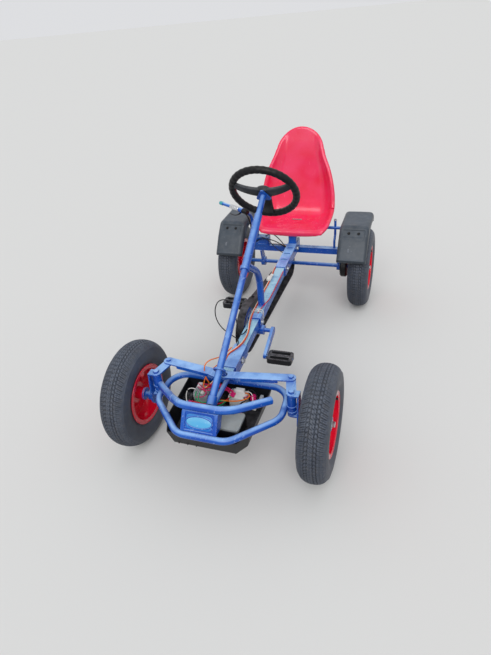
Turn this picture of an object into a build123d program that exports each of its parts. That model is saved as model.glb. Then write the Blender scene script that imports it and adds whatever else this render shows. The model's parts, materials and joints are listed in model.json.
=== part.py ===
from build123d import *
import os
from math import acos, atan, atan2, cos, degrees, hypot, radians, sin, tan

# Electric go-kart: a tube-framed pedal kart that was converted to electric drive.
# Modelled with y = 0 at the front axle and z = 0 at the height of the wheels' centres; +Y points to the rear
# and +X to the driver's left. place() lifts every piece onto its wheels and puts the origin on the floor
# under the middle of the kart.

# Wheels
WHEELBASE = 1148.0
FRONT_TRACK = 700.0
REAR_TRACK = 683.0
TYRE_RADIUS = 202.0
TYRE_WIDTH = 102.0
TREAD_WIDTH = 66.0
TREAD_DROP = 9.0
RIM_RADIUS = 112.6
RIM_WIDTH = 84.0
RIM_WALL = 3.0
BEAD_DEPTH = 11.0
DISH_DEPTH = 16.0
DISH_STEP_RADIUS = 40.0
DISH_RIM_RADIUS = 62.0
RIM_HOLES = 5
RIM_HOLE_RADIUS = 12.0
HUB_RADIUS = 24.0
HUB_LENGTH = 70.0

# Clearances: bearings, and faces that meet without touching
BEARING_GAP = 0.05
FACE_GAP = 0.3

# Main beam, a square tube that climbs slightly to the rear
BEAM_SIDE = 40.0
BEAM_FRONT_Y = 72.0
BEAM_REAR_Y = WHEELBASE - 6.0
BEAM_FRONT_TOP = 107.0
BEAM_REAR_TOP = 152.0
BEAM_SLOPE = (BEAM_REAR_TOP - BEAM_FRONT_TOP) / (BEAM_REAR_Y - BEAM_FRONT_Y)
SLEEVE_WALL = 4.0
SLEEVE_FRONT_Y = 90.0
SLEEVE_LENGTH = 132.0
SADDLE_DEPTH = 36.0
CLAMP_LENGTH = 32.0
CLAMP_WALL = 6.0
SLIDE_REAR_Y = BEAM_REAR_Y - 50.0
SLIDE_LENGTH = 274.0
SLOT_START = 73.0
SLOT_PITCH = 59.0
SLOT_COUNT = 4
SLOT_LENGTH = 13.0
SLOT_WIDTH = 28.0

# Front axle loop, cut bumper bar and the bare box plate between them
TUBE_RADIUS = 12.0
LOOP_Z = 48.0
LOOP_FRONT_Y = -201.0
LOOP_REAR_Y = 88.0
BAR_RADIUS = 13.5
BAR_WALL = 2.0
BAR_FRONT_Y = -148.0
BAR_Z = 128.0
PLATE_WIDTH = 126.0
PLATE_DEPTH = 42.0
PLATE_MIDDLE_X = -12.0
PLATE_WALL = 3.0

# Kingpins and knuckles
KINGPIN_X = FRONT_TRACK / 2 - 100.0
KINGPIN_RADIUS = 8.0
KINGPIN_SLEEVE_RADIUS = 16.0
KINGPIN_SLEEVE_BOTTOM = 24.0
KINGPIN_SLEEVE_TOP = 106.0
KNUCKLE_PLATE = 6.0
KNUCKLE_GAP = 1.0
WEB_SETBACK = 6.0
WEB_FOOT_RADIUS = 30.0
STUB_RADIUS = 10.0
STUB_BOSS_RADIUS = 21.0
STUB_BOSS_LENGTH = 18.0
ARM_LENGTH = 70.0
ARM_INSET = 18.0
ARM_WIDTH = 34.0
BOLT_RADIUS = 6.0
BOLT_HEAD_RADIUS = 10.0
BOLT_HEAD_HEIGHT = 6.0
STEER_LIMIT = 35.0

# Steering column
COLUMN_BOTTOM = (0.0, -95.0, 99.0)
COLUMN_TOP = (0.0, 624.0, 550.0)
COLUMN_RADIUS = 12.5
COLUMN_SLEEVE_RADIUS = 15.5
COLUMN_SLEEVE_LENGTH = 250.0
COLLAR_RADIUS = 19.0
COLLAR_LENGTH = 14.0
COLLAR_STATION = 512.0
STRUT_RADIUS = 9.0
STRUT_Z = 77.0
CUP_WALL = 4.0
CUP_FLOOR = 5.0
CUP_DEPTH = 24.0
SUPPORT_Y = 500.0
SUPPORT_RADIUS = 14.0
SUPPORT_SINK = 6.0
SUPPORT_BEND = 120.0
SUPPORT_BEND_Z = 278.0
SUPPORT_STATION = COLLAR_STATION + 30.0
GUSSET_WIDTH = 10.0
GUSSET_LENGTH = 60.0

# Pitman arm and tie rods
PITMAN_STATION = 119.0
PITMAN_ROOT_RADIUS = 22.0
PITMAN_TIP_RADIUS = 10.0
PITMAN_TIP_SETBACK = 24.0
PITMAN_PLATE = 6.0
BALL_RADIUS = 8.0
BALL_PIN_RADIUS = 5.5
ROD_THICKNESS = 5.0
ROD_WIDTH = 36.0
ROD_EYE_RADIUS = 12.0
ROD_STEP_START = 60.0
ROD_STEP_END = 34.0
ROD_LIP_HEIGHT = 9.0
ROD_LIP_WALL = 3.0
ROD_LIP_INSET = 44.0
ROD_GAP = 0.5

# Steering wheel
WHEEL_RIM_RADIUS = 130.0
WHEEL_RIM_SECTION = 15.0
WHEEL_RIM_RISE = 20.0
WHEEL_PLATE_THICKNESS = 5.0
WHEEL_PLATE_REACH = 42.0
WHEEL_HUB_RADIUS = 34.0
WHEEL_HUB_HEIGHT = 17.0
SPOKE_THICKNESS = 12.0

# Crank and pedals
CRANK_Y = 411.0
CRANK_Z = 60.0
CRANK_LENGTH = 127.0
CRANK_PLANE_X = 70.0
CRANK_AXLE_RADIUS = 8.5
CRANK_ARM_THICKNESS = 12.0
CRANK_BOSS_RADIUS = 17.0
CRANK_EYE_RADIUS = 12.0
CRANK_ANGLE = 198.3
CHAINRING_RADIUS = 88.0
SPROCKET_RADIUS = 34.0
CHAIN_THICKNESS = 4.0
BRACKET_RADIUS = 20.0
BRACKET_HALF = 35.0
BRACKET_RIGHT = 18.0
PEDAL_PIN_RADIUS = 5.0
PEDAL_LENGTH = 100.0
PEDAL_WIDTH = 62.0
PEDAL_HEIGHT = 22.0
PEDAL_CORNER = 12.0
PEDAL_END_WALL = 12.0
PEDAL_BAR = 15.0
PEDAL_GAP = 6.0

# Chain guard, two overlapping plastic halves at the right of the beam
GUARD_WIDTH = 32.0
GUARD_WALL = 2.5
GUARD_FRONT_RADIUS = 100.0
GUARD_REAR_Y = WHEELBASE - 16.0
GUARD_REAR_Z = -10.0
GUARD_REAR_RADIUS = 62.0
GUARD_SPLIT_Y = 520.0
GUARD_STEP = 3.0
GUARD_CRANK_HOLE = 26.0
GUARD_AXLE_HOLE = 18.0

# Rear frame
CROSS_SIDE = 30.0
CROSS_Y = WHEELBASE - 23.0
CROSS_HALF = REAR_TRACK / 2 - 79.5
BRACKET_X = -178.0
BRACKET_LENGTH = 78.0
BRACKET_DEPTH = 44.0
BRACKET_HEIGHT = 46.0
BRACKET_CORNER = 8.0
BRACKET_RECESS = 5.0
AXLE_RADIUS = 10.0
CARRIER_LEFT_X = REAR_TRACK / 2 - 115.5
CARRIER_RIGHT_X = -186.0
CARRIER_THICKNESS = 8.0
CARRIER_WIDTH = 37.0
CARRIER_BOSS_RADIUS = 24.0
CARRIER_BOSS_EXTRA = 6.0
MOTOR_RADIUS = 56.0
MOTOR_LENGTH = 34.0
MOTOR_EDGE = 6.0
MOTOR_GAP = 0.5

# Fenders: outer line and skirt over the tyre, each with its angle round the wheel and its gap over the tread
FENDER_INNER_X = REAR_TRACK / 2 - 101.5
FENDER_OUTER_X = REAR_TRACK / 2 + 38.5
FENDER_WALL = 4.0
FENDER_EDGE = 14.0
FENDER_BEND = 22.0
FENDER_LINE = ((149.8, 42.2), (126.4, 54.0), (110.6, 76.8), (69.6, 76.4), (60.4, 71.6))
FENDER_SKIRT = ((60.2, 35.4), (113.6, 22.8), (136.4, 18.0), (148.8, 22.0))
RECESS_LENGTH = 84.0
RECESS_WIDTH = 36.0
RECESS_DEPTH = 2.0
RECESS_HOLE_RADIUS = 5.0
RECESS_HOLE_PITCH = 46.0

# Stay bar that carries both fenders
STAY_Y = WHEELBASE
STAY_Z = TYRE_RADIUS + 8.0
STAY_RADIUS = 8.0
STAY_PIN_X = REAR_TRACK / 2 - 138.5
STAY_PIN_RADIUS = 6.0
STAY_PIN_RISE = 40.0
STAY_PIN_BEND = 12.0

# Seat
SEAT_WALL = 5.0
SEAT_LIP = 12.0
SEAT_LIP_DROP = 9.0
SEAT_FLAT_SHARE = 0.7
SEAT_PAN_Z = STAY_Z + 28.0
SEAT_POST_Y = WHEELBASE - 73.0
SEAT_POST_WIDTH = 40.0
SEAT_POST_DEPTH = 34.0
SEAT_POST_FOOT = 143.0
SEAT_POST_CORNER = 6.0
SEAT_SLOT_Y = WHEELBASE + 20.0
SEAT_SLOT_LENGTH = 44.0
SEAT_SLOT_WIDTH = 9.0

# Hand lever at the driver's right, and the bar across its top with the collar of its twist grip
LEVER_RADIUS = 7.5
LEVER_EYE_HALF = 6.0
LEVER_PIN_RADIUS = 5.0
HANDLE_RADIUS = 8.0
HANDLE_CLAMP_LENGTH = 24.0
HANDLE_CLAMP_WALL = 4.0
HANDLE_START = (-205.0, WHEELBASE - 150.0, 334.0)
HANDLE_END = (-390.0, WHEELBASE - 41.0, 339.0)
HANDLE_COLLAR_START = 64.0
HANDLE_COLLAR_END = 129.0
HANDLE_COLLAR_RADIUS = 12.5

# Tray
TRAY_RIM_Z = LOOP_Z - TUBE_RADIUS - FACE_GAP
TRAY_FLOOR_Z = -27.0
TRAY_TAPER = 16.0
TRAY_WALL = 3.0
MODULE_CORNER = 4.0

# Cables: an arc at a corner takes this share of the shorter run beside it
ARC_SHARE = 0.45


def beam_top(y):
    """Height of the beam's top face at station y."""
    return BEAM_FRONT_TOP + (y - BEAM_FRONT_Y) * BEAM_SLOPE


def column_point(station):
    """Point on the column's axis, station mm up from its lower end."""
    return Vector(*COLUMN_BOTTOM) + COLUMN_AXIS * station


BEAM_PITCH = atan(BEAM_SLOPE)
COLUMN_LINE = Vector(*COLUMN_TOP) - Vector(*COLUMN_BOTTOM)
COLUMN_LENGTH = COLUMN_LINE.length
COLUMN_AXIS = COLUMN_LINE.normalized()
COLUMN_DOWN = Vector(0, COLUMN_AXIS.Z, -COLUMN_AXIS.Y)
FRONT_WHEEL_X = FRONT_TRACK / 2
REAR_WHEEL_X = REAR_TRACK / 2
FRONT_REACH = min(LOOP_FRONT_Y - TUBE_RADIUS, -TYRE_RADIUS)
REAR_REACH = WHEELBASE + TYRE_RADIUS
MIDDLE_Y = (FRONT_REACH + REAR_REACH) / 2
GUARD_INNER_X = -(BEAM_SIDE / 2 + SLEEVE_WALL + FACE_GAP)
GUARD_MIDDLE_X = GUARD_INNER_X - GUARD_WIDTH / 2
CROSS_TOP = beam_top(CROSS_Y - CROSS_SIDE / 2) - BEAM_SIDE - FACE_GAP
CROSS_Z = CROSS_TOP - CROSS_SIDE / 2
ARM_BOTTOM = KINGPIN_SLEEVE_TOP + KNUCKLE_GAP
ARM_TOP = ARM_BOTTOM + KNUCKLE_PLATE
WEB_X = KINGPIN_X + KINGPIN_SLEEVE_RADIUS + WEB_SETBACK
ROD_BOTTOM = ARM_TOP + ROD_GAP
PIVOT_Z = ARM_TOP
PITMAN_LENGTH = (column_point(PITMAN_STATION).Z - PIVOT_Z) / COLUMN_AXIS.Y
PIVOT = column_point(PITMAN_STATION) + COLUMN_DOWN * PITMAN_LENGTH
LEVER_X = BRACKET_X - BRACKET_LENGTH / 2 - LEVER_RADIUS - FACE_GAP
LEVER_FOOT = (LEVER_X, CROSS_Y - 13.0, CROSS_TOP + 23.4)
HANDLE_LINE = Vector(*HANDLE_END) - Vector(*HANDLE_START)
HANDLE_AXIS = HANDLE_LINE.normalized()
SEAT_POST_TOP = SEAT_PAN_Z - SEAT_WALL - FACE_GAP

# The plate's front face lies in the plane through the axes of the two tubes that it fills the gap between
FACE_LINE = Vector(0, LOOP_FRONT_Y - BAR_FRONT_Y, LOOP_Z - BAR_Z).normalized()
PLATE_TOP = Vector(0, BAR_FRONT_Y, BAR_Z) + FACE_LINE * (BAR_RADIUS + FACE_GAP)
PLATE_LOW = Vector(0, LOOP_FRONT_Y, LOOP_Z) - FACE_LINE * (TUBE_RADIUS + FACE_GAP)


def rod(start, end, radius):
    """Round bar between two points."""
    line = Vector(*end) - Vector(*start)
    return Plane(origin=start, z_dir=line) * extrude(Circle(radius), line.length)


def x_rod(x0, x1, y, z, radius):
    """Round bar along X."""
    return rod((x0, y, z), (x1, y, z), radius)


def bent_tube(points, radii, radius, wall=0.0):
    """Tube along straight runs that are joined by tangent arcs; solid where wall is 0."""
    path = FilletPolyline(*points, radius=radii)
    section = Circle(radius) - Circle(radius - wall) if wall else Circle(radius)
    return sweep(Plane(origin=path @ 0, z_dir=path % 0) * section, path=path)


def side_plane(x):
    """Plane square to X; an outline drawn in it has Y to the right and Z up."""
    return Plane(origin=(x, 0, 0), x_dir=(0, 1, 0), z_dir=(1, 0, 0))


def plate(points, plane, thickness):
    """Flat plate of a polygon outline that is drawn in a plane."""
    return extrude(plane * make_face(Polyline(*points, close=True)), thickness)


def belt_face(near, near_radius, far, far_radius):
    """Face of two circles and the two straight edges that touch both."""
    across, rise = far[0] - near[0], far[1] - near[1]
    lean = atan2(rise, across)
    spread = acos((near_radius - far_radius) / hypot(across, rise))
    corners = []
    for (x, y), radius, turns in ((near, near_radius, (-1, 1)), (far, far_radius, (1, -1))):
        for turn in turns:
            angle = lean + turn * spread
            corners.append((x + radius * cos(angle), y + radius * sin(angle)))
    web = make_face(Polyline(*corners, close=True))
    return web + Pos(*near) * Circle(near_radius) + Pos(*far) * Circle(far_radius)


def beam_block(y0, y1, side, wall=0.0):
    """Length of square tube that lies along the beam between two stations, centred on the beam."""
    middle = Vector(0, y0, beam_top(y0) - BEAM_SIDE / 2)
    plane = Plane(origin=middle, x_dir=(1, 0, 0), z_dir=(0, cos(BEAM_PITCH), sin(BEAM_PITCH)))
    section = Rectangle(side, side)
    if wall:
        section -= Rectangle(side - 2 * wall, side - 2 * wall)
    return extrude(plane * section, (y1 - y0) / cos(BEAM_PITCH))


def main_beam():
    return beam_block(BEAM_FRONT_Y, BEAM_REAR_Y, BEAM_SIDE)


def front_sleeve():
    """Square sleeve with a saddle that rests on the loop's rear tube, where the front axle can rock."""
    rear = SLEEVE_FRONT_Y + SLEEVE_LENGTH
    sleeve = beam_block(SLEEVE_FRONT_Y, rear, BEAM_SIDE + 2 * SLEEVE_WALL, SLEEVE_WALL)
    top = beam_top(LOOP_REAR_Y) - BEAM_SIDE
    saddle = Pos(0, LOOP_REAR_Y, (top + LOOP_Z) / 2) * Box(BEAM_SIDE, SADDLE_DEPTH, top - LOOP_Z)
    saddle -= main_beam()
    return sleeve + saddle - x_rod(-BEAM_SIDE, BEAM_SIDE, LOOP_REAR_Y, LOOP_Z, TUBE_RADIUS + FACE_GAP)


def seat_slide():
    """Sleeve with a row of notches in its top, where the seat's catch drops in."""
    front = SLIDE_REAR_Y - SLIDE_LENGTH
    sleeve = beam_block(front, SLIDE_REAR_Y, BEAM_SIDE + 2 * SLEEVE_WALL, SLEEVE_WALL)
    for index in range(SLOT_COUNT):
        y = front + SLOT_START + index * SLOT_PITCH
        sleeve -= Pos(0, y, beam_top(y) + SLEEVE_WALL) * Box(SLOT_WIDTH, SLOT_LENGTH, 2 * SLEEVE_WALL)
    return sleeve


# Loop corners: x, y and the bend radius there; mirrored for the other side
LOOP_CORNERS = (
    (88.0, LOOP_FRONT_Y, 70.0),
    (KINGPIN_X - 22.0, -62.0, 75.0),
    (KINGPIN_X - 28.0, LOOP_REAR_Y, 70.0),
)


def loop_half(radius):
    """Left half of the loop's path as a solid round bar."""
    corners = [(x, y, LOOP_Z) for x, y, _ in LOOP_CORNERS]
    radii = [bend for _, _, bend in LOOP_CORNERS]
    return bent_tube([(0.0, LOOP_FRONT_Y, LOOP_Z), *corners, (0.0, LOOP_REAR_Y, LOOP_Z)], radii, radius)


def axle_loop():
    """Closed ring of round tube with a kingpin sleeve at each side."""
    height = KINGPIN_SLEEVE_TOP - KINGPIN_SLEEVE_BOTTOM
    foot = Pos(KINGPIN_X, 0, KINGPIN_SLEEVE_BOTTOM)
    half = loop_half(TUBE_RADIUS) + foot * extrude(Circle(KINGPIN_SLEEVE_RADIUS), height)
    half -= foot * extrude(Circle(KINGPIN_RADIUS + BEARING_GAP), height)
    return half + mirror(half, about=Plane.YZ)


# Upper bumper bar from the right kingpin over the plate to its sawn-off end: x, y, z
BAR_POINTS = (
    (12.0 - KINGPIN_X, -8.0, 66.0),
    (-144.0, -97.0, 100.0),
    (-84.0, BAR_FRONT_Y, BAR_Z),
    (78.0, BAR_FRONT_Y, BAR_Z),
    (190.0, -34.0, 98.0),
)
BAR_BENDS = (90.0, 70.0, 110.0)


def bumper_bar(loop):
    """Tube that is coped to the loop and the kingpin sleeve at its right end and sawn off at the other."""
    bar = bent_tube(BAR_POINTS, BAR_BENDS, BAR_RADIUS, BAR_WALL) - loop
    return bar.solids().sort_by(SortBy.VOLUME)[-1]


def bumper_plate():
    """Open box of sheet between the bumper bar and the loop's front; its front face is bare."""
    front = ((PLATE_TOP.Y, PLATE_TOP.Z), (PLATE_LOW.Y, PLATE_LOW.Z))
    rear = [(y + PLATE_DEPTH, z) for y, z in reversed(front)]
    edge = PLATE_MIDDLE_X - PLATE_WIDTH / 2
    box = plate((*front, *rear), side_plane(edge), PLATE_WIDTH)
    inner = plate((*front, *rear), side_plane(edge + PLATE_WALL), PLATE_WIDTH - 2 * PLATE_WALL)
    lower = loop_half(TUBE_RADIUS + FACE_GAP)
    upper = bent_tube(BAR_POINTS, BAR_BENDS, BAR_RADIUS + FACE_GAP)
    return box - Pos(0, PLATE_WALL, 0) * inner - upper - lower - mirror(lower, about=Plane.YZ)


def side_name(sign):
    return "left" if sign > 0 else "right"


def arm_tip(sign):
    """Plan position of the bolt that joins steering arm and tie rod."""
    return (sign * (KINGPIN_X - ARM_INSET), ARM_LENGTH)


def knuckle(sign):
    """Steering knuckle: kingpin, flat steering arm, flared web and stub axle with its boss."""
    tip = arm_tip(1)
    arm_face = belt_face((KINGPIN_X, 0), ARM_WIDTH / 2, tip, ARM_WIDTH / 2)
    arm = Pos(0, 0, ARM_BOTTOM) * extrude(arm_face, KNUCKLE_PLATE)
    web_head = (0, ARM_TOP - KINGPIN_SLEEVE_RADIUS)
    web_face = belt_face(web_head, KINGPIN_SLEEVE_RADIUS, (0, 0), WEB_FOOT_RADIUS)
    web = extrude(side_plane(WEB_X) * web_face, KNUCKLE_PLATE)
    over = Box(4 * KNUCKLE_PLATE, 4 * KINGPIN_SLEEVE_RADIUS, 2 * KNUCKLE_PLATE)
    web -= Pos(WEB_X, 0, ARM_TOP + KNUCKLE_PLATE) * over
    reach = WEB_X + KNUCKLE_PLATE - KINGPIN_X
    flange = Pos(reach / 2, 0, 0) * Rectangle(reach, 2 * KINGPIN_SLEEVE_RADIUS)
    flange += Circle(KINGPIN_SLEEVE_RADIUS)
    low = KINGPIN_SLEEVE_BOTTOM - KNUCKLE_GAP - KNUCKLE_PLATE
    flanges = Pos(KINGPIN_X, 0, ARM_BOTTOM) * extrude(flange, KNUCKLE_PLATE)
    flanges += Pos(KINGPIN_X, 0, low) * extrude(flange, KNUCKLE_PLATE)
    pin = Pos(KINGPIN_X, 0, low) * extrude(Circle(KINGPIN_RADIUS), ARM_TOP - low)
    head = extrude(RegularPolygon(BOLT_HEAD_RADIUS, 6), BOLT_HEAD_HEIGHT)
    pin += Pos(KINGPIN_X, 0, ARM_TOP) * head + Pos(KINGPIN_X, 0, low - BOLT_HEAD_HEIGHT) * head
    bolt_top = ROD_BOTTOM + ROD_THICKNESS + KNUCKLE_GAP
    bolt = Pos(*tip, ARM_BOTTOM) * extrude(Circle(BOLT_RADIUS), bolt_top - ARM_BOTTOM)
    bolt += Pos(*tip, bolt_top) * head
    stub = x_rod(WEB_X, FRONT_WHEEL_X + HUB_LENGTH / 2, 0, 0, STUB_RADIUS)
    stub += x_rod(WEB_X, WEB_X + KNUCKLE_PLATE + STUB_BOSS_LENGTH, 0, 0, STUB_BOSS_RADIUS)
    whole = arm + web + flanges + pin + bolt + stub
    return whole if sign > 0 else mirror(whole, about=Plane.YZ)


def tie_rod(sign):
    """Flat bar with a turned-down front edge, from a steering arm's bolt to the ball under the column."""
    tip = arm_tip(sign)
    reach = hypot(tip[0] - PIVOT.X, tip[1] - PIVOT.Y)
    angle = degrees(atan2(PIVOT.Y - tip[1], PIVOT.X - tip[0]))
    drop = 0.0 if sign > 0 else -(ROD_THICKNESS + KNUCKLE_GAP)
    end = reach + ROD_WIDTH / 2
    low = ((-ROD_WIDTH / 2, 0), (reach - ROD_STEP_START, 0), (reach - ROD_STEP_END, drop), (end, drop))
    high = [(s, h + ROD_THICKNESS) for s, h in reversed(low)]
    side = Plane(origin=(0, ROD_WIDTH / 2, 0), x_dir=(1, 0, 0), z_dir=(0, -1, 0))
    outline = Pos(0, 0, -ROD_WIDTH) * extrude(
        belt_face((0, 0), ROD_WIDTH / 2, (reach, 0), ROD_WIDTH / 2), 2 * ROD_WIDTH)
    bar = plate((*low, *high), side, ROD_WIDTH) & outline
    lip_length = reach - ROD_STEP_START - ROD_LIP_INSET
    lip = Box(lip_length, ROD_LIP_WALL, ROD_LIP_HEIGHT + ROD_THICKNESS / 2)
    bar += Pos(ROD_LIP_INSET + lip_length / 2, sign * (ROD_WIDTH - ROD_LIP_WALL) / 2,
               ROD_THICKNESS / 4 - ROD_LIP_HEIGHT / 2) * lip
    bar -= Pos(0, 0, -ROD_THICKNESS) * extrude(Circle(BOLT_RADIUS + BEARING_GAP), 3 * ROD_THICKNESS)
    bar -= Pos(reach, 0, drop - ROD_THICKNESS) * extrude(Circle(ROD_EYE_RADIUS), 3 * ROD_THICKNESS)
    return Pos(tip[0], tip[1], ROD_BOTTOM) * Rot(0, 0, angle) * bar


def steering_column():
    """Steering shaft with a teardrop pitman plate, whose pin carries the ball between the tie rods."""
    shaft = rod(COLUMN_BOTTOM, COLUMN_TOP, COLUMN_RADIUS)
    plane = Plane(origin=column_point(PITMAN_STATION), x_dir=COLUMN_DOWN, z_dir=COLUMN_AXIS)
    tip = PITMAN_LENGTH - PITMAN_TIP_SETBACK
    outline = belt_face((0, 0), PITMAN_ROOT_RADIUS, (tip, 0), PITMAN_TIP_RADIUS)
    arm = plane * extrude(outline, PITMAN_PLATE / 2, both=True)
    pin = rod(column_point(PITMAN_STATION) + COLUMN_DOWN * tip, PIVOT, BALL_PIN_RADIUS)
    return shaft + arm + pin + Pos(*PIVOT) * Sphere(BALL_RADIUS)


def column_sleeve():
    """Fixed bearing sleeve above the collar, which the support tube carries."""
    plane = Plane(origin=column_point(COLLAR_STATION), z_dir=COLUMN_AXIS)
    bore = Circle(COLUMN_RADIUS + BEARING_GAP)
    sleeve = extrude(Circle(COLUMN_SLEEVE_RADIUS) - bore, COLUMN_SLEEVE_LENGTH)
    return plane * (sleeve + extrude(Circle(COLLAR_RADIUS) - bore, COLLAR_LENGTH))


# Steering wheel spokes: angle, width at the hub and width at the rim; 90 degrees points at the driver's lap
SPOKES = ((90.0, 52.0, 40.0), (-22.0, 40.0, 24.0), (202.0, 40.0, 24.0))


def steering_wheel():
    """Padded rim, three tapered spokes and a raised hub, square to the column."""
    plane = Plane(origin=COLUMN_TOP, x_dir=(1, 0, 0), z_dir=COLUMN_AXIS)
    wheel = Pos(0, 0, WHEEL_RIM_RISE) * Torus(WHEEL_RIM_RADIUS, WHEEL_RIM_SECTION)
    reach = WHEEL_RIM_RADIUS - WHEEL_RIM_SECTION / 2
    for angle, root, tip in SPOKES:
        outline = ((0, -root / 2), (reach, -tip / 2), (reach, tip / 2), (0, root / 2))
        spoke = plate(outline, Plane.XY, SPOKE_THICKNESS)
        wheel += Rot(0, 0, angle) * Pos(0, 0, WHEEL_RIM_RISE - SPOKE_THICKNESS) * spoke
    hub = Pos(0, 0, WHEEL_PLATE_THICKNESS + FACE_GAP) * extrude(Circle(WHEEL_HUB_RADIUS), WHEEL_HUB_HEIGHT)
    return plane * (wheel + hub)


def wheel_plate():
    """Triangular plate on the shaft's end, under the wheel's hub."""
    plane = Plane(origin=COLUMN_TOP, x_dir=(1, 0, 0), z_dir=COLUMN_AXIS)
    outline = fillet(RegularPolygon(WHEEL_PLATE_REACH, 3, rotation=30).vertices(), WHEEL_PLATE_REACH / 5)
    return plane * extrude(outline, WHEEL_PLATE_THICKNESS)


def column_support(beam, sleeve):
    """Curved tube from the beam up to the column's bearing sleeve, with a gusset at its head."""
    foot = (0.0, SUPPORT_Y, beam_top(SUPPORT_Y) - SUPPORT_SINK)
    end = column_point(SUPPORT_STATION) + COLUMN_DOWN * (COLUMN_SLEEVE_RADIUS + SLEEVE_WALL)
    tube = bent_tube((foot, (0, SUPPORT_Y, SUPPORT_BEND_Z), tuple(end)), (SUPPORT_BEND,), SUPPORT_RADIUS)
    high = column_point(SUPPORT_STATION + GUSSET_LENGTH)
    low = end + COLUMN_DOWN * GUSSET_LENGTH / 2
    corners = [(point.Y, point.Z) for point in (high, end, low)]
    gusset = plate(corners, side_plane(-GUSSET_WIDTH / 2), GUSSET_WIDTH)
    shaft = rod(COLUMN_BOTTOM, COLUMN_TOP, COLUMN_SLEEVE_RADIUS)
    whole = tube + gusset - beam - sleeve - shaft
    return whole.solids().sort_by(SortBy.VOLUME)[-1]


def column_strut():
    """Bar from the beam's front face to the cup that carries the column's lower end."""
    cup_end = column_point(-CUP_FLOOR - FACE_GAP)
    bar = rod((0, cup_end.Y, STRUT_Z), (0, BEAM_FRONT_Y, STRUT_Z), STRUT_RADIUS)
    cup = rod(cup_end, column_point(CUP_DEPTH), COLUMN_RADIUS + CUP_WALL)
    room = rod(column_point(-FACE_GAP), column_point(2 * CUP_DEPTH), COLUMN_RADIUS + BEARING_GAP)
    clear = rod(column_point(CUP_DEPTH), column_point(COLUMN_LENGTH), COLUMN_RADIUS + 1.5 * CUP_WALL)
    return bar - clear + cup - room


def crank_housing():
    """Clamp round the beam with the bottom bracket shell welded under it."""
    front = CRANK_Y - CLAMP_LENGTH / 2
    clamp = beam_block(front, front + CLAMP_LENGTH, BEAM_SIDE + 2 * CLAMP_WALL, CLAMP_WALL)
    shell = x_rod(-BRACKET_RIGHT, BRACKET_HALF, CRANK_Y, CRANK_Z, BRACKET_RADIUS) - main_beam()
    bore = x_rod(-CRANK_PLANE_X, CRANK_PLANE_X, CRANK_Y, CRANK_Z, CRANK_AXLE_RADIUS + BEARING_GAP)
    return clamp + shell - bore


def crank_turn(sign):
    """Direction of a crank arm in the side view, in degrees from +Y."""
    return CRANK_ANGLE if sign > 0 else CRANK_ANGLE + 180


def crank_tip(sign):
    turn = radians(crank_turn(sign))
    return (CRANK_Y + CRANK_LENGTH * cos(turn), CRANK_Z + CRANK_LENGTH * sin(turn))


def crank():
    """Axle, both tapered arms with their pedal pins, and the chainring inside the guard."""
    whole = x_rod(-CRANK_PLANE_X, CRANK_PLANE_X, CRANK_Y, CRANK_Z, CRANK_AXLE_RADIUS)
    half_chain = CHAIN_THICKNESS / 2
    chain_right, chain_left = GUARD_MIDDLE_X - half_chain, GUARD_MIDDLE_X + half_chain
    whole += x_rod(chain_right, chain_left, CRANK_Y, CRANK_Z, CHAINRING_RADIUS)
    for sign in (1, -1):
        arm = belt_face((CRANK_Y, CRANK_Z), CRANK_BOSS_RADIUS, crank_tip(sign), CRANK_EYE_RADIUS)
        whole += extrude(side_plane(sign * CRANK_PLANE_X) * arm, CRANK_ARM_THICKNESS / 2, both=True)
        pin_end = sign * (CRANK_PLANE_X + CRANK_ARM_THICKNESS / 2 + PEDAL_GAP + PEDAL_LENGTH)
        whole += x_rod(sign * CRANK_PLANE_X, pin_end, *crank_tip(sign), PEDAL_PIN_RADIUS)
    return whole


def pedal(sign):
    """Block pedal: a rounded frame with two open slots beside its middle barrel."""
    y, z = crank_tip(sign)
    x = sign * (CRANK_PLANE_X + CRANK_ARM_THICKNESS / 2 + PEDAL_GAP + PEDAL_LENGTH / 2)
    outline = RectangleRounded(PEDAL_LENGTH, PEDAL_WIDTH, PEDAL_CORNER)
    slot = Rectangle(PEDAL_LENGTH - 2 * PEDAL_END_WALL, PEDAL_BAR)
    for side in (1, -1):
        outline -= Pos(0, side * PEDAL_WIDTH / 4) * slot
    body = Pos(x, y, z) * extrude(outline, PEDAL_HEIGHT / 2, both=True)
    return body - x_rod(x - PEDAL_LENGTH, x + PEDAL_LENGTH, y, z, PEDAL_PIN_RADIUS + BEARING_GAP)


def guard_outline(grow):
    front = (CRANK_Y, CRANK_Z)
    rear = (GUARD_REAR_Y, GUARD_REAR_Z)
    return belt_face(front, GUARD_FRONT_RADIUS + grow, rear, GUARD_REAR_RADIUS + grow)


def guard_half(front):
    """One half of the guard: a hollow case that is open towards the beam."""
    grow = GUARD_STEP if front else 0.0
    plane = side_plane(GUARD_INNER_X)
    case = extrude(plane * guard_outline(grow), -GUARD_WIDTH)
    case -= extrude(plane * guard_outline(grow - GUARD_WALL), GUARD_WALL - GUARD_WIDTH)
    span = WHEELBASE + 2 * GUARD_FRONT_RADIUS
    middle = GUARD_SPLIT_Y + (span / 2 if front else -span / 2)
    case -= Pos(GUARD_MIDDLE_X, middle, 0) * Box(2 * GUARD_WIDTH, span, span)
    y, z, hole = (CRANK_Y, CRANK_Z, GUARD_CRANK_HOLE) if front else (WHEELBASE, 0.0, GUARD_AXLE_HOLE)
    return case - x_rod(GUARD_INNER_X - 2 * GUARD_WIDTH, GUARD_INNER_X, y, z, hole)


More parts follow.
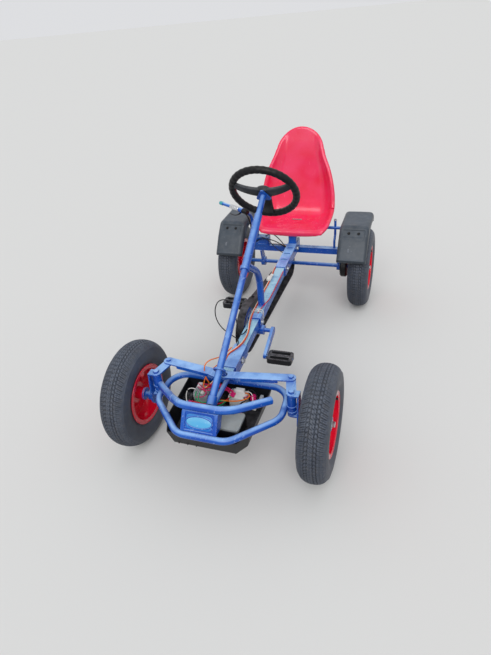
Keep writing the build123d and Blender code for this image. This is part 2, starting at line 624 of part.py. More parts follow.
def cross_tube():
    """Square tube across the rear, under the beam, with the hand lever's cast bracket on it."""
    tube = Pos(0, CROSS_Y, CROSS_Z) * Box(2 * CROSS_HALF, CROSS_SIDE, CROSS_SIDE)
    block = Box(BRACKET_LENGTH, BRACKET_DEPTH, BRACKET_HEIGHT)
    block = fillet(block.edges().filter_by(Axis.Z), BRACKET_CORNER)
    front = Plane(origin=(0, -BRACKET_DEPTH / 2, 0), x_dir=(1, 0, 0), z_dir=(0, -1, 0))
    block -= front * extrude(SlotOverall(BRACKET_LENGTH * 0.7, BRACKET_HEIGHT * 0.5), -BRACKET_RECESS)
    bracket = Pos(BRACKET_X, CROSS_Y, CROSS_TOP + BRACKET_HEIGHT / 2) * block
    bore = LEVER_PIN_RADIUS + BEARING_GAP
    return tube + bracket - x_rod(LEVER_X, LEVER_X + 4 * LEVER_RADIUS, *LEVER_FOOT[1:], bore)


def axle_carrier(x):
    """Plate under the cross tube with the axle's bearing boss."""
    top = CROSS_TOP - CROSS_SIDE
    outline = ((CROSS_Y + CROSS_SIDE / 2 - CARRIER_WIDTH, top), (CROSS_Y + CROSS_SIDE / 2, top),
               (WHEELBASE + CARRIER_BOSS_RADIUS, 0), (WHEELBASE - CARRIER_BOSS_RADIUS, 0))
    web = plate(outline, side_plane(x - CARRIER_THICKNESS / 2), CARRIER_THICKNESS)
    half = CARRIER_THICKNESS / 2 + CARRIER_BOSS_EXTRA
    boss = x_rod(x - half, x + half, WHEELBASE, 0, CARRIER_BOSS_RADIUS)
    return web + boss - x_rod(x - 2 * half, x + 2 * half, WHEELBASE, 0, AXLE_RADIUS + BEARING_GAP)


def axle_carriers():
    return Compound(children=[axle_carrier(CARRIER_LEFT_X), axle_carrier(CARRIER_RIGHT_X)])


def drive_motor():
    """Round black motor on the axle beside the driven wheel, as far as it shows under the fender."""
    x = CARRIER_LEFT_X + CARRIER_THICKNESS / 2 + CARRIER_BOSS_EXTRA + MOTOR_GAP
    body = Rot(0, 90, 0) * Cylinder(MOTOR_RADIUS, MOTOR_LENGTH)
    body = chamfer(body.edges().filter_by(GeomType.CIRCLE), MOTOR_EDGE)
    body = Pos(x + MOTOR_LENGTH / 2, WHEELBASE, 0) * body
    return body - x_rod(x - MOTOR_LENGTH, x + 2 * MOTOR_LENGTH, WHEELBASE, 0, AXLE_RADIUS + 2 * MOTOR_GAP)


def tyre():
    """Section of the tyre, turned about the wheel's X axis: round sidewalls and a slightly crowned tread."""
    half = TYRE_WIDTH / 2
    bead = RIM_WIDTH / 2 - RIM_WALL - FACE_GAP
    seat = RIM_RADIUS - BEAD_DEPTH + FACE_GAP
    lip = RIM_RADIUS + 2 * FACE_GAP
    shoulder = TYRE_RADIUS - TREAD_DROP
    belly = (lip + shoulder) / 2
    tread = TREAD_WIDTH / 2
    edges = [
        Line((-bead, seat), (-bead, lip)),
        ThreePointArc((-bead, lip), (-half, belly), (-tread, shoulder)),
        ThreePointArc((-tread, shoulder), (0, TYRE_RADIUS), (tread, shoulder)),
        ThreePointArc((tread, shoulder), (half, belly), (bead, lip)),
        Line((bead, lip), (bead, seat)),
        Line((bead, seat), (0, lip)),
        Line((0, lip), (-bead, seat)),
    ]
    return revolve(make_face(edges), axis=Axis.X)


def rim(sign, bore):
    """Pressed steel rim: barrel with upright flanges, and a dished disc with round holes round the hub."""
    half = RIM_WIDTH / 2
    seat = RIM_RADIUS - BEAD_DEPTH
    inner = seat - RIM_WALL
    barrel = ((-half, inner), (-half, RIM_RADIUS), (RIM_WALL - half, RIM_RADIUS), (RIM_WALL - half, seat),
              (half - RIM_WALL, seat), (half - RIM_WALL, RIM_RADIUS), (half, RIM_RADIUS), (half, inner))
    face = ((0, HUB_RADIUS / 2), (0, DISH_STEP_RADIUS),
            (DISH_DEPTH, DISH_RIM_RADIUS), (DISH_DEPTH, inner + 1.0))
    back = [(x + RIM_WALL, r) for x, r in reversed(face)]
    body = revolve(make_face(Polyline(*barrel, close=True)), axis=Axis.X)
    disc = revolve(make_face(Polyline(*face, *back, close=True)), axis=Axis.X)
    hole_radius = (DISH_RIM_RADIUS + inner) / 2
    for index in range(RIM_HOLES):
        hole = Pos(DISH_DEPTH, 0, hole_radius) * Rot(0, 90, 0) * Cylinder(RIM_HOLE_RADIUS, 4 * DISH_DEPTH)
        disc -= Rot(360 / RIM_HOLES * index, 0, 0) * hole
    body += disc + x_rod(-HUB_LENGTH / 2, HUB_LENGTH / 2, 0, 0, HUB_RADIUS)
    body -= x_rod(-HUB_LENGTH, HUB_LENGTH, 0, 0, bore)
    return body if sign > 0 else mirror(body, about=Plane.YZ)


def rear_axle():
    """Painted axle that turns with the driven left wheel, with the chain's sprocket inside the guard."""
    end = REAR_WHEEL_X + HUB_LENGTH / 2
    half_chain = CHAIN_THICKNESS / 2
    sprocket = x_rod(GUARD_MIDDLE_X - half_chain, GUARD_MIDDLE_X + half_chain, WHEELBASE, 0, SPROCKET_RADIUS)
    return x_rod(-end, end, WHEELBASE, 0, AXLE_RADIUS) + sprocket


def over_tyre(angle, gap):
    """Side-view point over the rear tyre."""
    radius = TYRE_RADIUS + gap
    return (WHEELBASE + radius * cos(radians(angle)), radius * sin(radians(angle)))


def fender_block(inset, deeper):
    """Fender's solid form, set in by a wall all round; its skirt is deeper where the inside is to be open."""
    outline = [over_tyre(angle, gap) for angle, gap in FENDER_LINE]
    outline += [over_tyre(angle, gap - deeper) for angle, gap in FENDER_SKIRT]
    face = make_face(Polyline(*outline, close=True))
    reach = TYRE_RADIUS + FENDER_LINE[0][1]
    bends = [v for v in face.vertices() if hypot(v.X - WHEELBASE, v.Y) > reach + FENDER_WALL]
    face = fillet(bends, FENDER_BEND - FENDER_WALL)
    if inset:
        face = offset(face, amount=-inset)
    block = extrude(side_plane(FENDER_INNER_X + inset) * face, FENDER_OUTER_X - FENDER_INNER_X - 2 * inset)
    edges = [e for e in block.edges().filter_by(Axis.X, reverse=True)
             if hypot(e.center().Y - WHEELBASE, e.center().Z) > reach - inset]
    return fillet(edges, FENDER_EDGE - inset)


def fender(sign):
    """Moulded rear mudguard: flat facets, rounded edges and a recess with two holes on its front slope."""
    shell = fender_block(0.0, 0.0) - fender_block(FENDER_WALL, 3 * FENDER_EDGE)
    low, high = over_tyre(*FENDER_LINE[1]), over_tyre(*FENDER_LINE[2])
    middle = ((FENDER_INNER_X + FENDER_OUTER_X) / 2, (low[0] + high[0]) / 2, (low[1] + high[1]) / 2)
    facet = Plane(origin=middle, x_dir=(1, 0, 0), z_dir=(0, low[1] - high[1], high[0] - low[0]))
    shell -= facet * extrude(RectangleRounded(RECESS_LENGTH, RECESS_WIDTH, RECESS_WIDTH / 6), -RECESS_DEPTH)
    for side in (1, -1):
        hole = Pos(side * RECESS_HOLE_PITCH / 2, 0) * Circle(RECESS_HOLE_RADIUS)
        shell -= facet * extrude(hole, -3 * FENDER_WALL)
    return shell if sign > 0 else mirror(shell, about=Plane.YZ)


def stay_bar():
    """Cross bar under the seat that carries both fenders, on two cranked uprights."""
    half = FENDER_INNER_X - FACE_GAP
    bar = x_rod(-half, half, STAY_Y, STAY_Z, STAY_RADIUS)
    for sign, foot_z in ((1, CROSS_TOP), (-1, CROSS_TOP + BRACKET_HEIGHT)):
        x = sign * STAY_PIN_X
        middle = (foot_z + STAY_Z) / 2
        bend = min(STAY_PIN_BEND, (STAY_Z - foot_z) / 4)
        points = ((x, CROSS_Y, foot_z), (x, CROSS_Y, middle - bend),
                  (x, STAY_Y, middle + bend), (x, STAY_Y, STAY_Z + STAY_PIN_RISE))
        bar += bent_tube(points, (bend, bend), STAY_PIN_RADIUS)
    return bar


# Seat shell sections along its middle line: y from the rear axle, height over the pan, tilt of the section
# from upright, half width, and how far the side walls rise off the middle line
SEAT_SECTIONS = (
    (-126.0, -32.0, 100.0, 146.0, 5.0),
    (-98.0, 0.0, 20.0, 160.0, 8.0),
    (-18.0, 0.0, 0.0, 170.0, 30.0),
    (67.0, 8.0, -30.0, 174.0, 70.0),
    (104.0, 80.0, -78.0, 174.0, 60.0),
    (120.0, 200.0, -80.0, 152.0, 50.0),
    (144.0, 310.0, -78.0, 114.0, 36.0),
    (168.0, 390.0, -72.0, 78.0, 20.0),
    (182.0, 422.0, -66.0, 40.0, 8.0),
)


def seat_section(y, height, tilt, half, rise):
    """Shallow dish of constant wall with a turned-out lip, drawn square to the seat's middle line."""
    turn = radians(tilt)
    up = Vector(0, sin(turn), cos(turn))
    origin = (0, WHEELBASE + y, SEAT_PAN_Z + height)
    plane = Plane(origin=origin, x_dir=(1, 0, 0), z_dir=(0, cos(turn), -sin(turn)))
    sign = 1 if plane.y_dir.dot(up) > 0 else -1
    flat = half * SEAT_FLAT_SHARE
    tip = half + SEAT_LIP
    base = rise - SEAT_WALL

    def side_curve(side, end_x, end_z, low):
        """Arc from the flat middle up to the lip, tangent to the middle; low is 0 inside, a wall outside."""
        turned = atan2(end_z + low, end_x - flat)
        radius = (end_x - flat) / sin(2 * turned)
        middle = (flat + radius * sin(turned), radius * (1 - cos(turned)) - low)
        return ThreePointArc(*[(side * x, sign * h) for x, h in ((flat, -low), middle, (end_x, end_z))])

    edges = []
    for side in (1, -1):
        lip = ((half, rise), (tip, rise), (tip, rise - SEAT_LIP_DROP),
               (tip - SEAT_WALL, rise - SEAT_LIP_DROP), (tip - SEAT_WALL, base), (half + SEAT_WALL / 2, base))
        edges += [side_curve(side, half, rise, 0.0), side_curve(side, half + SEAT_WALL / 2, base, SEAT_WALL)]
        edges.append(Polyline(*[(side * x, sign * h) for x, h in lip]))
    edges += [Line((-flat, 0), (flat, 0)), Line((-flat, -sign * SEAT_WALL), (flat, -sign * SEAT_WALL))]
    return plane * make_face(edges)


def seat():
    """Moulded bucket with a turned-out rim and a slot at the back of its pan."""
    shell = loft([seat_section(*row) for row in reversed(SEAT_SECTIONS)], ruled=True)
    slot = extrude(SlotOverall(SEAT_SLOT_LENGTH, SEAT_SLOT_WIDTH), 4 * SEAT_WALL, both=True)
    return shell - Pos(0, SEAT_SLOT_Y, SEAT_PAN_Z) * slot


def seat_post():
    """Bracket between the seat slide and the seat's underside."""
    slab = Pos(0, SEAT_POST_Y, (SEAT_POST_TOP + SEAT_POST_FOOT) / 2) * Box(
        SEAT_POST_WIDTH, SEAT_POST_DEPTH, SEAT_POST_TOP - SEAT_POST_FOOT)
    slab = fillet(slab.edges().filter_by(Axis.Z), SEAT_POST_CORNER)
    clear = BEAM_SIDE + 2 * SLEEVE_WALL + 2 * FACE_GAP
    return slab - beam_block(SLIDE_REAR_Y - SLIDE_LENGTH, BEAM_REAR_Y, clear)


# Hand lever's centre line from its pivot eye to its top, and the bend radii between
LEVER_POINTS = (
    LEVER_FOOT,
    (LEVER_X, WHEELBASE - 76.0, 170.0),
    (LEVER_X, WHEELBASE - 20.0, 260.0),
    (LEVER_X - 16.0, WHEELBASE - 118.0, 336.0),
)
LEVER_BENDS = (26.0, 40.0)


def handle_point(station):
    return Vector(*HANDLE_START) + HANDLE_AXIS * station


def hand_lever():
    """Bent lever tube with its pivot eye and pin at the foot and a clamp round the bar at its top."""
    tube = bent_tube(LEVER_POINTS, LEVER_BENDS, LEVER_RADIUS)
    eye = x_rod(LEVER_X - LEVER_EYE_HALF, LEVER_X + LEVER_EYE_HALF, *LEVER_FOOT[1:], 2 * LEVER_RADIUS)
    pin = x_rod(LEVER_X, LEVER_X + 3 * LEVER_RADIUS, *LEVER_FOOT[1:], LEVER_PIN_RADIUS)
    station = (Vector(*LEVER_POINTS[-1]) - Vector(*HANDLE_START)).dot(HANDLE_AXIS)
    half = HANDLE_CLAMP_LENGTH / 2
    outer = HANDLE_RADIUS + HANDLE_CLAMP_WALL
    clamp = rod(handle_point(station - half), handle_point(station + half), outer)
    bore_radius = HANDLE_RADIUS + BEARING_GAP
    bore = rod(handle_point(station - 2 * half), handle_point(station + 2 * half), bore_radius)
    return tube + eye + pin + clamp - bore


def lever_bar():
    """Bar across the lever's top, with the thicker collar of its twist grip."""
    collar = rod(handle_point(HANDLE_COLLAR_START), handle_point(HANDLE_COLLAR_END), HANDLE_COLLAR_RADIUS)
    return rod(HANDLE_START, HANDLE_END, HANDLE_RADIUS) + collar


# Tray outline at the rim: x, y; the floor is TRAY_TAPER smaller all round
TRAY_RIM = (
    (-130.0, -192.0), (112.0, -192.0), (146.0, -140.0),
    (154.0, 92.0), (-172.0, 92.0), (-162.0, -120.0),
)


def tray_level(z, amount):
    """Tray outline set in by an amount, at a height."""
    face = make_face(Polyline(*TRAY_RIM, close=True))
    return Pos(0, 0, z) * (offset(face, amount=-amount) if amount else face)


def tray():
    """Open tapered tub for the electronics."""
    outer = loft([tray_level(TRAY_FLOOR_Z, TRAY_TAPER), tray_level(TRAY_RIM_Z, 0.0)], ruled=True)
    inner = loft([tray_level(TRAY_FLOOR_Z + TRAY_WALL, TRAY_TAPER + TRAY_WALL),
                  tray_level(TRAY_RIM_Z + 1.0, TRAY_WALL)], ruled=True)
    return outer - inner


# Electronics in the tray: name, centre x, centre y, length x, length y, height
MODULES = (
    ("battery_block", 48.0, -86.0, 104.0, 88.0, 52.0),
    ("motor_controller", -98.0, 38.0, 56.0, 52.0, 55.0),
    ("relay_box", 42.0, 44.0, 66.0, 50.0, 55.0),
)


def module(x, y, length, width, height):
    block = Pos(x, y, TRAY_FLOOR_Z + TRAY_WALL + height / 2) * Box(length, width, height)
    return fillet(block.edges().filter_by(Axis.Z), MODULE_CORNER)


# Cable routes, one cable after the other, with points chosen by hand. The loom leaves the cross tube, runs
# along the beam's right edge past the support's foot and drops beside the front sleeve into the tray.
LOOM_RADIUS = 3.0
LOOM_ROUTE = (
    (-126.0, 1125.0, 113.7), (-84.0, 1124.0, 113.7), (-48.0, 1108.0, 116.0), (-30.0, 1070.0, 126.0),
    (-27.6, 1014.0, 131.0), (-27.6, 955.0, 132.5), (-27.6, 892.0, 132.0), (-28.4, 826.0, 134.5),
    (-24.5, 782.0, 138.8), (-18.5, 727.0, 138.5), (-18.0, 668.0, 135.5), (-18.6, 609.0, 132.9),
    (-18.0, 550.0, 130.5), (-18.4, 492.0, 128.2), (-17.0, 440.0, 129.0), (-13.0, 398.0, 130.6),
    (-8.0, 352.0, 124.4), (4.0, 304.0, 120.2), (7.0, 256.0, 119.6), (3.0, 214.0, 121.2),
    (-12.0, 180.0, 119.8), (-27.8, 156.0, 118.8), (-29.0, 135.0, 103.0), (-31.0, 110.0, 85.0),
    (-42.0, 84.0, 70.0), (-60.0, 60.0, 52.0), (-78.0, 44.0, 36.5), (-98.0, 30.0, 34.4),
)
LOOP_CABLE_RADIUS = 2.0
LOOP_CABLE_ROUTE = (
    (-7.0, 318.0, 119.8), (-9.0, 282.0, 118.2), (-18.0, 252.0, 140.0), (-22.0, 258.0, 196.0),
    (-27.0, 262.0, 248.0), (-46.0, 254.0, 292.0), (-80.0, 244.0, 290.0), (-98.0, 240.0, 250.0),
    (-96.0, 240.0, 202.0), (-74.0, 240.0, 163.0), (-38.0, 243.0, 136.0), (-11.0, 240.0, 119.5),
    (-9.0, 206.0, 119.8),
)
LEVER_CABLE_RADIUS = 2.5
LEVER_CABLE_ROUTE = (
    (-228.0, WHEELBASE - 136.4, 324.0), (-211.0, WHEELBASE - 147.0, 322.0),
    (-198.0, WHEELBASE - 150.0, 298.0), (-196.0, WHEELBASE - 138.0, 260.0),
    (-201.0, WHEELBASE - 114.0, 222.0), (-208.0, WHEELBASE - 90.0, 188.0),
    (-214.4, WHEELBASE - 64.0, 162.0),
)
WIRE_RADIUS = 2.0
WIRE_ROUTES = (
    ((-26.4, 178.0, 92.0), (-42.0, 148.0, 90.0), (-70.0, 112.0, 82.0), (-92.0, 76.0, 66.0),
     (-94.0, 44.0, 46.0), (-82.0, 22.0, 33.4)),
    ((-112.0, 18.0, 33.6), (-108.0, -6.0, 33.0), (-86.0, -26.0, 20.0), (-50.0, -30.0, 11.0),
     (-12.0, -20.0, 14.0), (8.0, -8.0, 28.0), (20.0, 8.0, 37.0), (26.0, 28.0, 33.8)),
    ((-84.0, 52.0, 33.4), (-62.0, 62.0, 38.0), (-32.0, 60.0, 32.0), (-4.0, 55.0, 35.0), (22.0, 50.0, 33.8)),
)


def cable(route, radius):
    """Round cable of straight runs joined by arcs as large as the runs allow; prints the arcs' radii."""
    runs = [Vector(*b) - Vector(*a) for a, b in zip(route, route[1:])]
    turns = [radians(before.get_angle(after)) for before, after in zip(runs, runs[1:])]
    shorter = [min(before.length, after.length) for before, after in zip(runs, runs[1:])]
    radii = [ARC_SHARE * run / tan(turn / 2) for run, turn in zip(shorter, turns)]
    print("cable of radius", radius, "has arcs of", [round(bend) for bend in radii], "mm")
    return bent_tube(route, radii, radius)


def place(shape):
    return Pos(0, -MIDDLE_Y, TYRE_RADIUS) * shape


def build():
    loop = axle_loop()
    beam = main_beam()
    sleeve = column_sleeve()
    nodes = {
        "main_beam": beam,
        "front_sleeve": front_sleeve(),
        "crank_housing": crank_housing(),
        "seat_slide": seat_slide(),
        "axle_loop": loop,
        "bumper_bar": bumper_bar(loop),
        "bumper_plate": bumper_plate(),
        "column_strut": column_strut(),
        "column_sleeve": sleeve,
        "column_support": column_support(beam, sleeve),
        "steering_column": steering_column(),
        "steering_wheel": steering_wheel(),
        "wheel_plate": wheel_plate(),
        "crank": crank(),
        "guard_front": guard_half(True),
        "guard_rear": guard_half(False),
        "cross_tube": cross_tube(),
        "axle_carriers": axle_carriers(),
        "drive_motor": drive_motor(),
        "rear_axle": rear_axle(),
        "stay_bar": stay_bar(),
        "seat": seat(),
        "seat_post": seat_post(),
        "hand_lever": hand_lever(),
        "lever_bar": lever_bar(),
        "tray": tray(),
        "beam_loom": cable(LOOM_ROUTE, LOOM_RADIUS),
        "cable_loop": cable(LOOP_CABLE_ROUTE, LOOP_CABLE_RADIUS),
        "lever_cable": cable(LEVER_CABLE_ROUTE, LEVER_CABLE_RADIUS),
        "tray_wires": Compound(children=[cable(route, WIRE_RADIUS) for route in WIRE_ROUTES]),
    }
    for name, *sizes in MODULES:
        nodes[name] = module(*sizes)
    for sign in (1, -1):
        side = side_name(sign)
        rear_bore = AXLE_RADIUS if sign > 0 else AXLE_RADIUS + BEARING_GAP
        nodes[f"knuckle_{side}"] = knuckle(sign)
        nodes[f"tie_rod_{side}"] = tie_rod(sign)
        nodes[f"pedal_{side}"] = pedal(sign)
        nodes[f"fender_{side}"] = fender(sign)
        nodes[f"tyre_front_{side}"] = Pos(sign * FRONT_WHEEL_X, 0, 0) * tyre()
        nodes[f"rim_front_{side}"] = Pos(sign * FRONT_WHEEL_X, 0, 0) * rim(sign, STUB_RADIUS + BEARING_GAP)
        nodes[f"tyre_rear_{side}"] = Pos(sign * REAR_WHEEL_X, WHEELBASE, 0) * tyre()
        nodes[f"rim_rear_{side}"] = Pos(sign * REAR_WHEEL_X, WHEELBASE, 0) * rim(sign, rear_bore)
    return nodes


os.makedirs("parts", exist_ok=True)
for node, shape in build().items():
    export_step(place(shape), f"parts/{node}.step")
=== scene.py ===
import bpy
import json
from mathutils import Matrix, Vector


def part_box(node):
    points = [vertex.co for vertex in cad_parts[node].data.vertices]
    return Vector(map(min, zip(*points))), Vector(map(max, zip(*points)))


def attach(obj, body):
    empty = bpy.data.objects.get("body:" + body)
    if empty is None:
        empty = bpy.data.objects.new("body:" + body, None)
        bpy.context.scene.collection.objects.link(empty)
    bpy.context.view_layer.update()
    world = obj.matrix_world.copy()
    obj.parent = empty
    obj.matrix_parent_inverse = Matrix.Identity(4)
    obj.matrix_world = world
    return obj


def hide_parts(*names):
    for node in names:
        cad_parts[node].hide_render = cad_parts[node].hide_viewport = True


bl_info = {
    "name": "Electric go-kart",
    "version": (1, 0, 0),
    "blender": (4, 5, 0),
    "location": "View3D > Sidebar > Kart",
    "description": "Dresses the packed model of a pedal kart that was converted to electric drive",
    "category": "Object",
}

import json
from math import cos, pi, radians, sin, tau

import bmesh
import bpy
import numpy as np
from bpy.props import FloatProperty, FloatVectorProperty, IntProperty, PointerProperty
from mathutils import Matrix

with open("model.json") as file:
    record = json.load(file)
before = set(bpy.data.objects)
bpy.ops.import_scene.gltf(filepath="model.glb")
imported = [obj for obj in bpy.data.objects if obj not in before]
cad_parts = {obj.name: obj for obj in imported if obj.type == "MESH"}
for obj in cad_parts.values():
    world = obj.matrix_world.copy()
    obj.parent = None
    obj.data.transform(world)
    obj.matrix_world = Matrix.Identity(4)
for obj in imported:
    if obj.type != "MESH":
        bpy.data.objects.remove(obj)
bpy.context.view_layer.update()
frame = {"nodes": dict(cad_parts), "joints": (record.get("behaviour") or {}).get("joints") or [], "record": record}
SLOTS = {row["node"]: row["material_slot"] for row in frame["record"]["subparts"]}
JOINTS = {joint["name"]: joint for joint in frame["joints"]}
MM = 0.001
X, Y, Z = np.eye(3)
SIDES = (("left", 1), ("right", -1))

# Places below are in millimetres from the middle of the front axle, as a kart builder measures: y to the rear,
# x to the driver's left and z up from the height of the wheels' centres
AXLE = np.mean(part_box("tyre_front_left"), axis=0) * (0, 1, 1)


def place(points):
    """Points in millimetres from the front axle, as metres in the shared frame."""
    return AXLE + np.asarray(points, float) * MM


def measured(points):
    """Points of the shared frame in millimetres from the front axle."""
    return (np.asarray(points, float) - AXLE) / MM


def box_of(node):
    """Low corner, high corner, middle and size of a node's box at rest, in millimetres from the front axle."""
    low, high = measured(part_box(node))
    return low, high, (low + high) / 2, high - low


# Driving places, read from the frame
*_, FRONT_MIDDLE, TYRE_SIZE = box_of("tyre_front_left")
TYRE_HALF, _, TYRE_RADIUS = TYRE_SIZE / 2
RIM_RADIUS = box_of("rim_front_left")[3][2] / 2
RIM_HALF = 42
FRONT_WHEEL_X = FRONT_MIDDLE[0]
REAR_WHEEL_X, WHEELBASE, _ = box_of("tyre_rear_left")[2]
COLUMN_TOP = measured(JOINTS["steering_turn"]["pos_m"])
COLUMN_AXIS = np.array(JOINTS["steering_turn"]["axis"])
KINGPIN_X = measured(JOINTS["knuckle_left_turn"]["pos_m"])[0]
CRANK_Y = measured(JOINTS["crank_turn"]["pos_m"])[1]
BEAM_SLOPE = 45 / 1070
# Wheels: end of the kart, side, sign of the side, place of the middle and body
WHEELS = [(end, side, sign, sign * reach, y, f"{end}_wheel_{side}")
          for end, reach, y in (("front", FRONT_WHEEL_X, 0), ("rear", REAR_WHEEL_X, WHEELBASE))
          for side, sign in SIDES]


def beam_top(y):
    """Height of the main beam's top face at a station: 107 mm at the saddle, rising with the beam's slope."""
    return 107 + (y - 72) * BEAM_SLOPE


# Meshes worked out with numpy


def grid(points, close_u=False, close_v=False):
    """Vertices and quads of a grid of points, rows along u and columns along v; a closed way joins its ends."""
    points = np.asarray(points, float)
    rows, cols = points.shape[:2]
    i, j = np.meshgrid(np.arange(rows - (not close_u)), np.arange(cols - (not close_v)), indexing="ij")
    next_i, next_j = (i + 1) % rows * cols, (j + 1) % cols
    return points.reshape(-1, 3), np.stack((i * cols + j, i * cols + next_j, next_i + next_j, next_i + j),
                                           axis=-1).reshape(-1, 4)


def joined(shells):
    """Several sets of vertices and quads as one, each set's quads counted on from the sets before it."""
    starts = np.cumsum([0] + [len(points) for points, _ in shells[:-1]])
    return (np.concatenate([points for points, _ in shells]),
            np.concatenate([quads + start for (_, quads), start in zip(shells, starts)]))


def unit(vectors):
    """Vectors made one long."""
    return vectors / np.linalg.norm(vectors, axis=-1, keepdims=True)


def run(path):
    """Distance along a path at each of its points."""
    return np.concatenate(([0], np.cumsum(np.linalg.norm(np.diff(path, axis=0), axis=1))))


def lap(count):
    """Angles once round a circle, evenly spaced."""
    return np.linspace(0, tau, count, endpoint=False)


def squared(wave, power):
    """Sine or cosine pushed towards its ends, sgn(w) |w|^p, which squares a circle off."""
    return np.sign(wave) * np.abs(wave) ** power


def ring(centre, side, up, radius=1, count=72):
    """Circle or ellipse: centre + r (cos a * side + sin a * up)."""
    angle = lap(count)[:, None]
    return np.asarray(centre, float) + radius * (np.cos(angle) * side + np.sin(angle) * up)


def axes_of(axis):
    """Two unit vectors square to an axis, and the axis made unit."""
    axis = unit(np.asarray(axis, float))
    side = unit(np.cross(axis, Z if abs(axis[2]) < 0.9 else X))
    return side, np.cross(axis, side), axis


def frames(path, hint):
    """Two unit vectors square to a path at each of its points, from the cross product with one fixed direction."""
    along = unit(np.gradient(path, axis=0))
    side = unit(np.cross(along, np.asarray(hint, float)))
    return side, np.cross(side, along)


def tube(path, radius, sides=20, closed=False, hint=(0.31, 0.22, 0.93), flat=1):
    """Circle carried along a path: p + r (cos a * side + flat * sin a * up); open tubes get flat ends."""
    path = np.asarray(path, float)
    radius = np.broadcast_to(np.asarray(radius, float), len(path))
    if closed:
        side, up = (v[1:-1] for v in frames(np.concatenate((path[-1:], path, path[:1])), hint))
    else:
        path, side, up = (np.concatenate((v[:1], v, v[-1:])) for v in (path, *frames(path, hint)))
        radius = np.concatenate(([0], radius, [0]))
    angle = lap(sides)[None, :, None]
    circle = np.cos(angle) * side[:, None] + flat * np.sin(angle) * up[:, None]
    return grid(path[:, None] + radius[:, None, None] * circle, close_u=closed, close_v=True)


def smooth_line(points, count):
    """Catmull-Rom curve through points: cubic blends of each four neighbours, as one array."""
    points = np.asarray(points, float)
    p = np.vstack((2 * points[0] - points[1], points, 2 * points[-1] - points[-2]))
    t = np.linspace(0, len(points) - 1 - 1e-9, count)
    i = t.astype(int)
    s = (t - i)[:, None]
    a, b, c, d = p[i], p[i + 1], p[i + 2], p[i + 3]
    return 0.5 * (2 * b + (c - a) * s + (2 * a - 5 * b + 4 * c - d) * s ** 2 + (3 * b - a - 3 * c + d) * s ** 3)


def rounded(points, radii, step=2.5):
    """Straight runs joined by short curves that leave them where arcs of the given radii would, as points about a
    step apart all along. Each curve is a quadratic blend of the arc's ends over its corner, close to the arc."""
    points = np.asarray(points, float)
    line = [points[:1]]
    for before, corner, after, radius in zip(points, points[1:], points[2:], radii):
        a, b = unit(before - corner), unit(after - corner)
        turn = pi - np.arccos(np.clip(a @ b, -1, 1))
        reach = radius * np.tan(turn / 2)
        share = np.linspace(0, 1, max(4, int(radius * turn / step)))[:, None]
        start, end = corner + a * reach, corner + b * reach
        line.append((1 - share) ** 2 * start + 2 * share * (1 - share) * corner + share ** 2 * end)
    line = np.concatenate((*line, points[-1:]))
    s = run(line)
    even = np.linspace(0, s[-1], max(8, int(s[-1] / step)))
    return np.stack([np.interp(even, s, column) for column in line.T], axis=-1)


def window(distance, half, soft):
    """1 within half of 0, falling to 0 over a soft edge by 3 t^2 - 2 t^3."""
    t = np.clip((half + soft / 2 - np.abs(distance)) / soft, 0, 1)
    return t * t * (3 - 2 * t)


def turned(profile, centre, axis=Z, sides=48):
    """Profile of station and radius turned about an axis: centre + s * axis + r (cos a * side + sin a * up)."""
    side, up, axis = axes_of(axis)
    angle = lap(sides)[None, :, None]
    s, r = np.asarray(profile, float).T[..., None, None]
    return grid(np.asarray(centre, float) + s * axis + r * (np.cos(angle) * side + np.sin(angle) * up), close_v=True)


def pillow(centre, size, edge, power=6, rows=9, sides=40, axis=Z, width_way=X):
    """Rounded block: superellipse |x/a|^n + |y/b|^n = 1 whose size shrinks by a quarter circle at both ends."""
    length, width, height = size
    *_, up = axes_of(axis)
    side = unit(width_way - np.dot(width_way, up) * up)
    across = np.cross(up, side)
    x, y = (squared(wave(lap(sides)), 2 / power)[None, :, None] for wave in (np.cos, np.sin))
    bend = np.linspace(0, pi / 2, rows // 2)
    rise, shrink = edge * (1 - np.cos(bend)), edge * (1 - np.sin(bend))
    inset = np.concatenate(([width], shrink, rise, [width]))
    level = np.concatenate(([0], rise, height - shrink, [height])) - height / 2
    a, b = (np.maximum(reach / 2 - inset, 0)[:, None, None] for reach in (length, width))
    return grid(np.asarray(centre, float) + level[:, None, None] * up + a * x * side + b * y * across, close_v=True)


# Objects


def new_mesh(name, shells, crease, groove):
    """Mesh of shells in millimetres from the front axle; doubles are merged and faces point outwards."""
    points, quads = joined(shells)
    mesh = bpy.data.meshes.new(name)
    mesh.from_pydata(place(points).tolist(), [], quads.tolist())
    if groove is not None:
        layer = mesh.attributes.new("groove", "FLOAT", "POINT")
        layer.data.foreach_set("value", np.asarray(groove, np.float32).ravel())
    work = bmesh.new()
    work.from_mesh(mesh)
    bmesh.ops.remove_doubles(work, verts=work.verts, dist=1e-6)
    bmesh.ops.dissolve_degenerate(work, edges=work.edges, dist=1e-7)
    bmesh.ops.recalc_face_normals(work, faces=work.faces)
    work.to_mesh(mesh)
    work.free()
    mesh.shade_smooth()
    mesh.set_sharp_from_angle(angle=radians(crease))
    return mesh


def linked(name, data):
    """Object of some data in the scene."""
    thing = bpy.data.objects.new(name, data)
    bpy.context.scene.collection.objects.link(thing)
    return thing


def fitted(name, data, finish, body, replaces):
    """Object with a finish that rides on a body and may take the place of nodes."""
    data.materials.append(finish_named(finish))
    thing = linked(name, data)
    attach(thing, body)
    if replaces:
        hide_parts(*replaces)
    return thing


def piece(name, shells, finish, body="chassis", replaces=(), crease=35, groove=None):
    """Mesh object of shells in millimetres."""
    return fitted(name, new_mesh(name, shells, crease, groove), finish, body, replaces)


